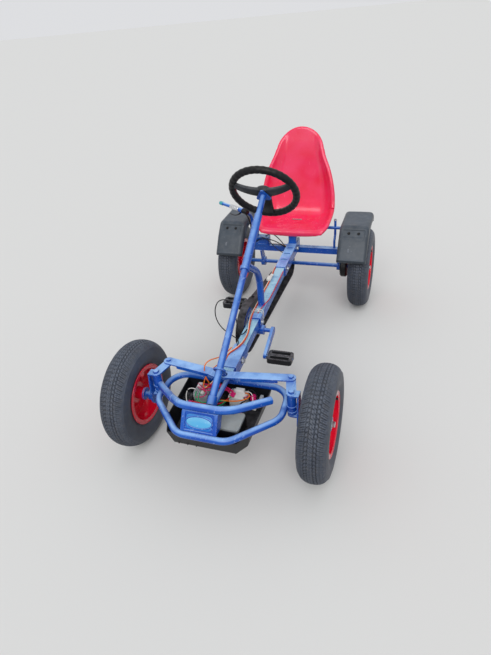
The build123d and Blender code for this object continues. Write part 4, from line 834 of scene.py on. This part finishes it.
# Bolts: name, body, place of the head's seat, axis, size across flats, finish
BOLTS = [
    ("crank_clamp", "chassis", (26, CRANK_Y, 100), X, 13, "zinc"),
    ("crank_clamp_right", "chassis", (-26, CRANK_Y, 100), -X, 13, "zinc"),
    ("slide_catch", "chassis", (24, 850, 120), X, 13, "zinc"),
    ("slide_catch_rear", "chassis", (24, 1060, 128), X, 13, "zinc"),
    ("front_sleeve_bolt", "chassis", (24, 160, 90), X, 17, "zinc"),
    ("front_sleeve_bolt_right", "chassis", (-24, 160, 90), -X, 17, "zinc"),
    ("guard_split", "chassis", (-40, 512, 153), Z, 10, "dark_steel"),
]
for side, sign in SIDES:
    BOLTS += [
        (f"kingpin_{side}", f"knuckle_{side}", (sign * KINGPIN_X, 0, 112), Z, 19, "blue_paint"),
        (f"stub_{side}", f"knuckle_{side}", (sign * (FRONT_WHEEL_X + 35), 0, 0), sign * X, 19, "zinc"),
        (f"axle_{side}", f"rear_wheel_{side}", (sign * (REAR_WHEEL_X + 35), WHEELBASE, 0), sign * X, 19, "zinc"),
        (f"cross_{side}", "chassis", (sign * 262, WHEELBASE - 23, 95), sign * X, 15, "dark_steel"),
        (f"fender_pin_{side}", "chassis", (sign * 203, WHEELBASE, 250), Z, 10, "zinc"),
    ]


class KART_OT_bolts(bpy.types.Operator):
    """Make the hexagon heads and washers"""

    bl_idname = "kart.bolts"
    bl_label = "Bolts"

    def execute(self, context):
        for name, body, seat, axis, flats, finish in BOLTS:
            r, under, top = flats / 2 / cos(pi / 6), 1.9, 1.9 + flats * 0.5
            washer = ((0.2, 0), (0.2, flats * 0.78), (0.9, flats * 0.82), (under, flats * 0.78), (under, 0))
            head = ((under, 0), (under, r), (under + flats * 0.42, r), (top, r * 0.86), (top, 0))
            shells = [turned(washer, seat, axis, 32), turned(head, seat, axis, 6)]
            piece(f"bolt_{name}", shells, finish, body, (), 25)
        return {"FINISHED"}


def bead(path, radius, closed=True):
    """Weld bead: a tube whose radius swells at each ripple, r (1 + 0.16 sin)."""
    s = run(path)
    ripples = max(4, round(s[-1] / 4.2))
    return tube(path, radius * (1 + 0.16 * np.sin(tau * ripples * s / s[-1])), 10, closed)


class KART_OT_welds(bpy.types.Operator):
    """Make the weld beads where the tubes and plates of the frame meet"""

    bl_idname = "kart.welds"
    bl_label = "Welds"

    def execute(self, context):
        foot = 500  # station of the column support's foot on the beam
        # Round beads: middle, axis of the tube, radius, points
        rounds = [((sign * KINGPIN_X, 0, z), Z, 16.4, 72) for sign in (1, -1) for z in (36.5, 59.5)]
        rounds += [((0, 70.8, 77), Y, 9.4, 72), ((0, -88, 77), Y, 9.4, 48),
                   ((0, foot, beam_top(foot) + 0.6), (0, -BEAM_SLOPE, 1), 14.6, 72)]
        # Straight beads under the beam at the cross tube, then beside the lever's bracket: ends and points
        lines = [((-20, y, beam_top(y) - 40.4), (20, y, beam_top(y) - 40.4), 60)
                 for y in (WHEELBASE - 38.4, WHEELBASE - 7.6)]
        lines += [((x, WHEELBASE - 42, 110.6), (x, WHEELBASE - 4, 110.6), 50) for x in (-217, -139)]
        size = shown(context).weld_bead / MM
        beads = [bead(ring(at, *axes_of(axis)[:2], radius, count), size) for at, axis, radius, count in rounds]
        beads += [bead(np.linspace(*line), size, False) for line in lines]
        piece("weld_beads", beads, "blue_paint", crease=180)
        return {"FINISHED"}


class KART_OT_bumper_plate(bpy.types.Operator):
    """Make the raised margins and the bare panel of the box plate between the bumper's two bars"""

    bl_idname = "kart.bumper_plate"
    bl_label = "Bumper plate"

    def execute(self, context):
        *_, middle, size = box_of("bumper_plate")
        width = size[0]
        # Middles of the plate's upper and lower edges on its front face
        top, foot = np.array((0, -155.6, 116.5)), np.array((0, -194.2, 58.3))
        down = unit(foot - top)
        out = np.array((0, down[2], -down[1]))
        length = np.linalg.norm(foot - top)
        centre = (top + foot) / 2 + middle[0] * X
        margins = [pillow(centre + sign * (width / 2 - 7) * X + 1.2 * out, (14, length - 1, 4.4), 1.6, 10, axis=out)
                   for sign in (1, -1)]
        margins += [pillow(centre + sign * (length / 2 - 4) * down + 0.8 * out, (width - 16, 7, 3.2), 1.4, 10, axis=out)
                    for sign in (1, -1)]
        panel = pillow(centre + 0.7 * out, (width - 34, length - 20, 2.2), 0.9, 5, axis=out)
        oval = pillow(centre + 1.9 * out, (86, 33, 2.4), 0.9, 2, 9, 96, out)
        border = tube(ring(centre + 2 * out, 47 * X, 19.5 * down, 1, 120), 1.7, 12, True, out)
        piece("plate_margins", margins, "blue_paint")
        piece("plate_panel", [panel], "plate_blue")
        piece("plate_oval", [oval], "medallion")
        piece("plate_ring", [border], "blue_paint")
        return {"FINISHED"}


class KART_OT_fenders(bpy.types.Operator):
    """Make the moulded fenders with their soft corners, sunk panel and raised hem, the panel's dark grommets and a
    bare worn label"""

    bl_idname = "kart.fenders"
    bl_label = "Fenders"

    def execute(self, context):
        wall = shown(context).fender_wall
        grommet = ((-2.4, 0), (-2.4, 7), (0.4, 7), (1.4, 5.4), (0.8, 3.6), (-0.6, 3), (-0.6, 0))
        foot, knee = over_tyre(*FENDER_LINE[1]), over_tyre(*FENDER_LINE[2])
        slope = unit(knee - foot)
        square = np.array((0, -slope[1], slope[0]))
        for side, _ in SIDES:
            low, high, *_ = box_of(f"fender_{side}")
            shell, centre, facing = fender_shell(low[0] + wall / MM / 2, high[0] - wall / MM / 2)
            fender = piece(f"fender_shell_{side}", [shell], "fender_plastic",
                           replaces=(f"fender_{side}",), crease=180)
            give_wall(fender, wall)
            grommets = [turned(grommet, centre + x * X, facing, 32) for x in (-23, 23)]
            piece(f"fender_grommets_{side}", grommets, "cable_black")
            spot = np.array((centre[0] - 4, *(0.42 * foot + 0.58 * knee))) + 2.6 * square
            label = pillow(spot, (34, 20, 1.2), 0.4, 5, axis=square)
            piece(f"fender_label_{side}", [label], "label_grey")
        return {"FINISHED"}


class KART_OT_lever(bpy.types.Operator):
    """Make the hand lever's bar: dark grip, blue rod, pale collar, teal end and brake blade"""

    bl_idname = "kart.lever"
    bl_label = "Hand lever bar"

    def execute(self, context):
        # The bar's ends; stations of the profiles below run from the grip's end to the tip
        start = np.array((-205, WHEELBASE - 150, 334))
        end = np.array((-390, WHEELBASE - 41, 339))
        way = unit(end - start)
        length = np.linalg.norm(end - start)
        s = np.linspace(0.5, 36, 90)
        ribs = 11 + 0.9 * np.cos(tau * s / 4.5)
        grip = ((0, 0), *np.column_stack((s, ribs)), (36.5, 0))
        rod = ((30, 0), (30, 8), (length - 22, 8), (length - 22, 0))
        collar = ((64, 0), (64, 11), (66, 12.6), (82, 12.6), (83.5, 10.6), (86, 10.6), (87.5, 12.2),
                  (118, 12.2), (121, 10), (129, 9.4), (129, 0))
        tip = ((length - 24, 0), (length - 24, 9.6), (length - 4, 9.9), (length - 1, 8.4), (length + 0.5, 0))
        for name, profile, sides, finish, slot in (("rod", rod, 32, "blue_paint", "blue_paint"),
                                                   ("grip", grip, 32, "grip_plastic", "grip_plastic"),
                                                   ("collar", collar, 48, "collar_silver", "blue_paint"),
                                                   ("tip", tip, 32, "tip_teal", "blue_paint")):
            piece(f"lever_{name}", [turned(profile, start, way, sides)], finish, "hand_lever",
                  ("lever_bar",) if name == "rod" else ())
        blade = start + 47 * way + ((0, 0, -10), (-12, -26, -14), (-30, -34, -12), (-52, -22, -10))
        piece("lever_blade", [tube(smooth_line(blade, 40), np.linspace(5, 3.4, 40), 14, flat=0.55)], "dark_steel",
              "hand_lever")
        return {"FINISHED"}


# Cable routes, as in the part: points given one by one
LOOM_ROUTE = np.array((
    (-126, 1125, 113.7), (-84, 1124, 113.7), (-48, 1108, 116), (-30, 1070, 126), (-27.6, 1014, 131),
    (-27.6, 955, 132.5), (-27.6, 892, 132), (-28.4, 826, 134.5), (-24.5, 782, 138.8), (-18.5, 727, 138.5),
    (-18, 668, 135.5), (-18.6, 609, 132.9), (-18, 550, 130.5), (-18.4, 492, 128.2), (-17, 440, 129),
    (-13, 398, 130.6), (-8, 352, 124.4), (4, 304, 120.2), (7, 256, 119.6), (3, 214, 121.2), (-12, 180, 119.8),
    (-27.8, 156, 118.8), (-29, 135, 103), (-31, 110, 85), (-42, 84, 70), (-60, 60, 52), (-78, 44, 36.5),
    (-98, 30, 34.4),
))
LOOP_CABLE_ROUTE = (
    (-7, 318, 119.8), (-9, 282, 118.2), (-18, 252, 140), (-22, 258, 196), (-27, 262, 248), (-46, 254, 292),
    (-80, 244, 290), (-98, 240, 250), (-96, 240, 202), (-74, 240, 163), (-38, 243, 136), (-11, 240, 119.5),
    (-9, 206, 119.8),
)
LEVER_CABLE_ROUTE = np.array((
    (-228, 1011.6, 324), (-211, 1001, 322), (-198, 998, 298), (-196, 1010, 260), (-201, 1034, 222),
    (-208, 1058, 188), (-214.4, 1084, 162),
))
# Wires of the loom: colour, place beside its middle line, radius
LOOM_WIRES = (("orange", (1.2, 0, 1.4), 1.5), ("white", (-2.2, 0, 1.3), 1.4), ("black", (-2.6, 0, -0.9), 2),
              ("red", (3.4, 0, -0.9), 1.3))
# Wires in the tray that the part has too: colour and route
TRAY_ROUTES = (
    ("orange", ((-26.4, 178, 92), (-42, 148, 90), (-70, 112, 82), (-92, 76, 66), (-94, 44, 46), (-82, 22, 33.4))),
    ("green", ((-112, 18, 33.6), (-108, -6, 33), (-86, -26, 20), (-50, -30, 11), (-12, -20, 14), (8, -8, 28),
               (20, 8, 37), (26, 28, 33.8))),
    ("red", ((-84, 52, 33.4), (-62, 62, 38), (-32, 60, 32), (-4, 55, 35), (22, 50, 33.8))),
)
# Thin wires between the tray's modules, then one more on the beam and three cables under the seat: colour, radius
# and route
HOOK_UPS = (
    ("magenta", 1.9, ((-122, 61, 34), (-91, 32, 48), (-60, 3, 50), (-70, -19, 44), (-105, -6, 30))),
    ("magenta", 1.9, ((-103, 63, 34), (-66, 46, 50), (-24, 50, 54), (6, 47, 50), (35, 34, 34))),
    ("magenta", 1.9, ((-84, 40, 34), (-39, 57, 46), (2, 34, 54), (19, 32, 34))),
    ("magenta", 1.7, ((-116, 44, 34), (-86, 18, 44), (-52, 14, 54), (-20, 30, 50), (14, 50, 34))),
    ("red", 2, ((-109, -31, 30), (-78, -41, 40), (-31, -44, 42), (9, -25, 38), (24, 24, 34))),
    ("red", 2, ((-90, 58, 34), (-48, 66, 44), (-12, 60, 46), (18, 44, 34))),
    ("green", 2.1, ((-96, 20, 33), (-92, -20, 40), (-64, -46, 44), (-36, -32, 46), (0, -18, 44), (16, -13, 40))),
    ("orange", 2.2, ((-2, -14, 42), (42, -14, 44), (73, -3, 46), (92, 17, 44), (86, 39, 42), (66, 50, 33))),
    ("orange", 2.1, ((-26, 190, 121), (-34, 130, 126), (-48, 90, 142), (-62, 66, 150), (-74, 48, 144), (-78, 40, 118),
                     (-70, 34, 84), (-62, 41, 60), (-84, 46, 33))),
    ("black", 2, ((-164, 13, 18), (-152, 17, 36), (-130, 14, 38), (-132, -7, 26), (-114, -20, 10))),
    ("black", 2, ((62, 60, 33), (84, 66, 42), (106, 48, 40), (124, 29, 30), (116, 7, 0))),
    ("white", 1.7, ((-118, 30, 33), (-140, 30, 40), (-150, 8, 30), (-136, -22, 10), (-120, -46, -10))),
    ("white", 1.6, ((66, 56, 33), (86, 48, 46), (104, 30, 36), (104, 6, 4))),
    ("magenta", 1.7, ((70, 28, 33), (92, 28, 44), (112, 36, 34), (118, 26, 4))),
    ("black", 2.2, ((66, -44, 29), (66, -26, 40), (74, -8, 42), (84, 10, 36), (70, 24, 33))),
    ("red", 2.2, ((82, -46, 29), (84, -28, 36), (96, -10, 30), (106, 12, 12), (110, 34, -8))),
    ("red", 1.9, ((23, 780, 139.4), (24, 720, 136.6), (23.4, 660, 134), (24.2, 600, 131.2), (23.2, 540, 129),
                  (16, 500, 131), (6, 450, 128), (2, 400, 123.6))),
    ("black", 2.4, ((-52, 1100, 112), (-84, 1078, 150), (-140, 1070, 168), (-200, 1092, 150), (-232, 1108, 111))),
    ("black", 2.4, ((-27, 1040, 134), (-48, 1034, 172), (-84, 1050, 196), (-122, 1092, 190), (-160, 1125, 157))),
    ("black", 2, ((-27, 985, 133), (-58, 980, 150), (-100, 1010, 176), (-150, 1066, 176), (-186, 1112, 156))),
)


class KART_OT_wiring(bpy.types.Operator):
    """Make the loom on the beam, the cables and the coloured wires in the tray"""

    bl_idname = "kart.wiring"
    bl_label = "Wiring"

    def execute(self, context):
        insulation = {"black": "cable_black"} | {colour: f"wire_{colour}" for colour in
                                                 ("orange", "white", "red", "green", "magenta")}
        step = np.arange(len(LOOM_ROUTE))
        for number, (colour, offset, radius) in enumerate(LOOM_WIRES):
            wobble = np.column_stack((0.8 * np.sin(1.9 * step + number), 0 * step,
                                      0.6 * np.abs(np.sin(1.3 * step + 2 * number))))
            wire(f"loom_{colour}", LOOM_ROUTE + offset + wobble, radius, insulation[colour],
                 replaces=() if number else ("beam_loom",))
        wire("loop_cable", LOOP_CABLE_ROUTE, 2, "cable_black", replaces=("cable_loop",))
        wire("brake_cable", LEVER_CABLE_ROUTE, 2.5, "cable_black", "hand_lever", ("lever_cable",))
        wire("throttle_cable", LEVER_CABLE_ROUTE + (-5.5, 3, 1.5), 1.8, "cable_black", "hand_lever")
        for number, (colour, route) in enumerate(TRAY_ROUTES):
            wire(f"tray_{colour}", route, 2, insulation[colour],
                 replaces=() if number else ("tray_wires",))
        for number, (colour, radius, route) in enumerate(HOOK_UPS):
            wire(f"hook_up_{number:02d}", route, radius, insulation[colour])
        return {"FINISHED"}


# Plug connectors: name, middle, size, finish
PLUGS = (
    ("beam_plug", (-21, 700, 143), (20, 34, 12), "module_white"),
    ("beam_plug_cap", (-17, 728, 144), (13, 12, 9), "module_white"),
    ("tray_plug", (100, 40, 26), (16, 26, 12), "wire_magenta"),
    ("tray_plug_white", (112, 12, 8), (14, 22, 12), "module_white"),
    ("relay_header", (44, 58, 35), (34, 18, 9), "module_white"),
    ("relay_socket", (26, 30, 34), (16, 22, 7), "wire_magenta"),
    ("controller_plug", (-112, 56, 32), (16, 22, 11), "module_white"),
    ("controller_plug_low", (-88, 20, 31), (12, 16, 9), "module_white"),
    ("tray_plug_side", (124, 52, 14), (12, 30, 14), "module_grey"),
    ("tray_plug_left", (-60, 66, 34), (14, 20, 10), "module_white"),
    ("tray_plug_low", (-122, -18, 10), (18, 14, 12), "wire_magenta"),
)


class KART_OT_ties(bpy.types.Operator):
    """Make the cable ties round the beam and the plug connectors on the wires"""

    bl_idname = "kart.ties"
    bl_label = "Cable ties and connectors"

    def execute(self, context):
        across, upward = (squared(wave(lap(48)), 0.25) for wave in (np.cos, np.sin))
        half, fall = 22.5, 41
        for number, (y, rise) in enumerate(((452, 8), (438, 8.5))):
            top = beam_top(y)
            path = np.stack((across * half - 1, np.full(48, y), top + (rise - fall) / 2 + upward * (rise + fall) / 2),
                            axis=-1)
            head = pillow((6, y, top + rise + 1), (8, 6.5, 5), 1.2, 8, 9, 24)
            piece(f"cable_tie_{number}", [tube(path, 1.7, 8, True, Y, 0.6), head], "wire_white")
        for name, centre, size, finish in PLUGS:
            length, width, height = size
            ridge = pillow(centre + height / 2 * Z, (length * 0.45, width * 0.5, 3), 0.8, 8, 9, 24)
            piece(name, [pillow(centre, size, 1.5, 8), ridge], finish)
        return {"FINISHED"}


def case_of(middle, size, top, less, edge, power):
    """A module's case: its box without the top that its lid or fins take, and a little less to the sides."""
    return pillow(middle - top / 2 * Z, size - (less, less, top), edge, power)


class KART_OT_modules(bpy.types.Operator):
    """Make the tray's modules: finned controller, lidded relay box, battery, fan, capacitor and knob"""

    bl_idname = "kart.modules"
    bl_label = "Tray modules"

    def execute(self, context):
        low, high, middle, size = box_of("motor_controller")
        fins = [pillow((x, middle[1], high[2] - 5), (3, size[1] - 3, 9.5), 0.8, 8, 9, 20)
                for x in np.linspace(low[0] + 4, high[0] - 4, 8)]
        piece("controller_case", [case_of(middle, size, 8, 0, 2, 12), *fins], "module_grey",
              replaces=("motor_controller",))

        _, high, middle, size = box_of("relay_box")
        top = np.array((*middle[:2], high[2]))
        lid = pillow(top - 6.5 * Z, (*size[:2], 13), 2.5, 12)
        screw = ((0, 3.6), (1.4, 3.4), (1.8, 0))
        screws = [turned(screw, top + (x, y, -0.4), Z, 16) for x in (-26, 26) for y in (-18, 18)]
        piece("relay_case", [case_of(middle, size, 12, 3, 2, 12), lid], "module_white",
              replaces=("relay_box",))
        piece("relay_screws", screws, "zinc")

        _, high, middle, size = box_of("battery_block")
        top = np.array((*middle[:2], high[2]))
        lid = pillow(top - 5.5 * Z, (*(size[:2] - 2), 11), 3, 10)
        post = ((0, 6), (4, 6), (4, 4), (9, 4), (9.5, 0))
        posts = [turned(post, (middle[0] + x, high[1] - 12, high[2] - 0.3), Z, 6) for x in (-14, 10)]
        piece("battery_case", [case_of(middle, size, 10, 0, 3, 10)], "tray_plastic",
              replaces=("battery_block",))
        piece("battery_lid", [lid], "lid_green")
        piece("battery_posts", posts, "zinc")

        hub = np.array((-146, 12, 6))
        fan_blades, sweep = 7, 0.62
        swept = np.linspace(0, sweep, 8)[:, None]
        r = np.linspace(6, 16.5, 6)[None]
        blades = [grid(hub + np.stack((r * np.cos(start + swept), r * np.sin(start + swept),
                                       7 + 4 * swept / sweep + 0 * r), axis=-1)) for start in lap(fan_blades)]
        cap = turned(((0, 7), (6, 7), (8, 5), (8, 0)), hub + 6 * Z, Z, 32)
        frame_ring = pillow(hub, (38, 40, 12), 1.5, 10, axis=(0.2, 0, 1))
        piece("fan_frame", [frame_ring], "tray_plastic")
        piece("fan_blades", [*blades, cap], "pedal_plastic")

        can = ((0, 0), (0, 8.5), (38, 8.5), (40, 7.4), (40, 0))
        knob = ((0, 0), (0, 9.5), (4, 9.5), (5, 7.5), (16, 6.8), (18, 5), (18, 0))
        piece("capacitor", [turned(can, (-6, 40, -22), Z, 32)], "cable_black")
        piece("knob", [turned(knob, (8, -52, 27.5), Z, 24)], "grip_plastic")
        low = box_of("tray")[0]
        ribs = [pillow((x, low[1] + 100, low[2] + 4.5), (180, 4, 4), 0.8, 10, 9, 24, width_way=Y)
                for x in (-100, -68, -36)]
        piece("tray_ribs", ribs, "tray_plastic")
        return {"FINISHED"}


class KART_OT_pedal_treads(bpy.types.Operator):
    """Make the raised studs on both faces of the pedals"""

    bl_idname = "kart.pedal_treads"
    bl_label = "Pedal treads"

    def execute(self, context):
        for side, _ in SIDES:
            middle = box_of(f"pedal_{side}")[2]
            studs = [pillow(middle + (x, y, z), (5, 4, 2.6), 0.7, 6, 7, 16)
                     for z in (11.6, -11.6) for y in (-27.5, 27.5, 0) for x in np.linspace(-38, 38, 9)]
            piece(f"pedal_studs_{side}", studs, "pedal_plastic", f"pedal_{side}")
        return {"FINISHED"}


# Stage: the floor reaches far past the picture. Walls and floor are pale where they are seen, and give the kart less
# light than they show, as a workshop floor does, so undersides darken
FLOOR_REACH = 60
FLOOR_LIGHT_COLOUR = "#8A8A88"
SKY_COLOUR = "#FBFCFF"
SKY_SEEN = 0.755
# The sky's light grows from a share of its level at the horizon to all of it at this height of the direction
SKY_LOW_SHARE = 0.55
SKY_TOP = 0.7
SUN_WIDTH, SUN_TILT = radians(50), (radians(48), radians(14), 0)
# Where the camera stood in millimetres, its turn, its downward pitch and its roll in radians
CAMERA_PLACE = (568.8, -1161.8, 1189.8)
CAMERA_YAW = 0.374
CAMERA_PITCH = 0.589
CAMERA_ROLL = -0.104
PHOTO_HEIGHT = 655
FOCAL_PIXELS = 483.76


def seen(tree):
    """Share of rays that look at the stage from the camera, or by way of a mirror or a glass."""
    rays = add(tree, "ShaderNodeLightPath").outputs
    looked = add(tree, MATH, {0: rays["Is Camera Ray"], 1: rays["Is Glossy Ray"]}).outputs[0]
    return add(tree, MATH, {0: looked, 1: rays["Is Transmission Ray"]}, use_clamp=True).outputs[0]


class KART_OT_stage(bpy.types.Operator):
    """Make the pale floor and backdrop, the soft light, the world and the camera"""

    bl_idname = "kart.stage"
    bl_label = "Stage"

    def execute(self, context):
        sizes, scene = shown(context), context.scene
        scene.view_settings.view_transform = "Standard"

        y, x = np.meshgrid(*[np.linspace(-FLOOR_REACH, FLOOR_REACH, 5)] * 2, indexing="ij")
        points, quads = grid(np.stack((x, y, 0 * x), axis=-1))
        mesh = bpy.data.meshes.new("floor")
        mesh.from_pydata(points.tolist(), [], quads.tolist())
        paper = bpy.data.materials.new("studio_paper")
        paper.use_nodes = True
        tree = paper.node_tree
        paint = add(tree, MIX, {0: seen(tree), 6: linear(FLOOR_LIGHT_COLOUR), 7: tuple(sizes.floor_colour)},
                    data_type="RGBA")
        shader = tree.nodes["Principled BSDF"]
        tree.links.new(paint.outputs[2], shader.inputs["Base Color"])
        shader.inputs["Roughness"].default_value = 0.9
        shader.inputs["Specular IOR Level"].default_value = 0
        mesh.materials.append(paper)
        floor = linked("floor", mesh)

        world = bpy.data.worlds.new("studio")
        world.use_nodes = True
        tree = world.node_tree
        direction = add(tree, "ShaderNodeTexCoord").outputs["Generated"]
        height = add(tree, "ShaderNodeSeparateXYZ", {0: direction}).outputs["Z"]
        light = add(tree, RANGE, {"Value": height, "From Max": SKY_TOP, "To Min": SKY_LOW_SHARE * sizes.light_level,
                                  "To Max": sizes.light_level}).outputs[0]
        background = tree.nodes["Background"]
        background.inputs["Color"].default_value = linear(SKY_COLOUR)
        level = add(tree, MIX, {0: seen(tree), 2: light, 3: SKY_SEEN}).outputs[0]
        tree.links.new(level, background.inputs["Strength"])
        scene.world = world

        lamp = bpy.data.lights.new("key", "SUN")
        lamp.energy = sizes.sun_level
        lamp.angle = SUN_WIDTH
        linked("key", lamp).rotation_euler = SUN_TILT

        ahead = np.array((-sin(CAMERA_YAW), cos(CAMERA_YAW), 0))
        right = np.array((cos(CAMERA_YAW), sin(CAMERA_YAW), 0))
        forward = cos(CAMERA_PITCH) * ahead - sin(CAMERA_PITCH) * Z
        top = sin(CAMERA_PITCH) * ahead + cos(CAMERA_PITCH) * Z
        x_way = cos(CAMERA_ROLL) * right + sin(CAMERA_ROLL) * top
        y_way = -sin(CAMERA_ROLL) * right + cos(CAMERA_ROLL) * top
        lens = bpy.data.cameras.new("camera")
        lens.sensor_width = 36
        lens.lens = FOCAL_PIXELS / PHOTO_HEIGHT * lens.sensor_width
        scene.camera = linked("camera", lens)
        turn = Matrix(np.column_stack((x_way, y_way, -forward)).tolist()).to_4x4()
        scene.camera.matrix_world = Matrix.Translation(place(CAMERA_PLACE)) @ turn
        return {"FINISHED"}


OPERATORS = (
    KART_OT_finishes, KART_OT_tyres, KART_OT_wheel_trim, KART_OT_seat, KART_OT_steering_wheel, KART_OT_bolts,
    KART_OT_welds, KART_OT_bumper_plate, KART_OT_fenders, KART_OT_lever, KART_OT_wiring, KART_OT_ties,
    KART_OT_modules, KART_OT_pedal_treads, KART_OT_stage,
)


class KART_PT_panel(bpy.types.Panel):
    """Lists the sizes and the steps that dress the kart"""

    bl_idname = "KART_PT_panel"
    bl_label = "Electric go-kart"
    bl_space_type = "VIEW_3D"
    bl_region_type = "UI"
    bl_category = "Kart"

    def draw(self, context):
        for name in KartSizes.__annotations__:
            self.layout.prop(shown(context), name)
        for operator in OPERATORS:
            self.layout.operator(operator.bl_idname)


def register():
    for cls in (KartSizes, *OPERATORS, KART_PT_panel):
        bpy.utils.register_class(cls)
    bpy.types.Scene.kart = PointerProperty(type=KartSizes)


def unregister():
    del bpy.types.Scene.kart
    for cls in reversed((KartSizes, *OPERATORS, KART_PT_panel)):
        bpy.utils.unregister_class(cls)


def main():
    """Registers the add-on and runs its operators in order."""
    register()
    for operator in OPERATORS:
        group, name = operator.bl_idname.split(".")
        getattr(getattr(bpy.ops, group), name)()


if __name__ == "__main__":
    main()
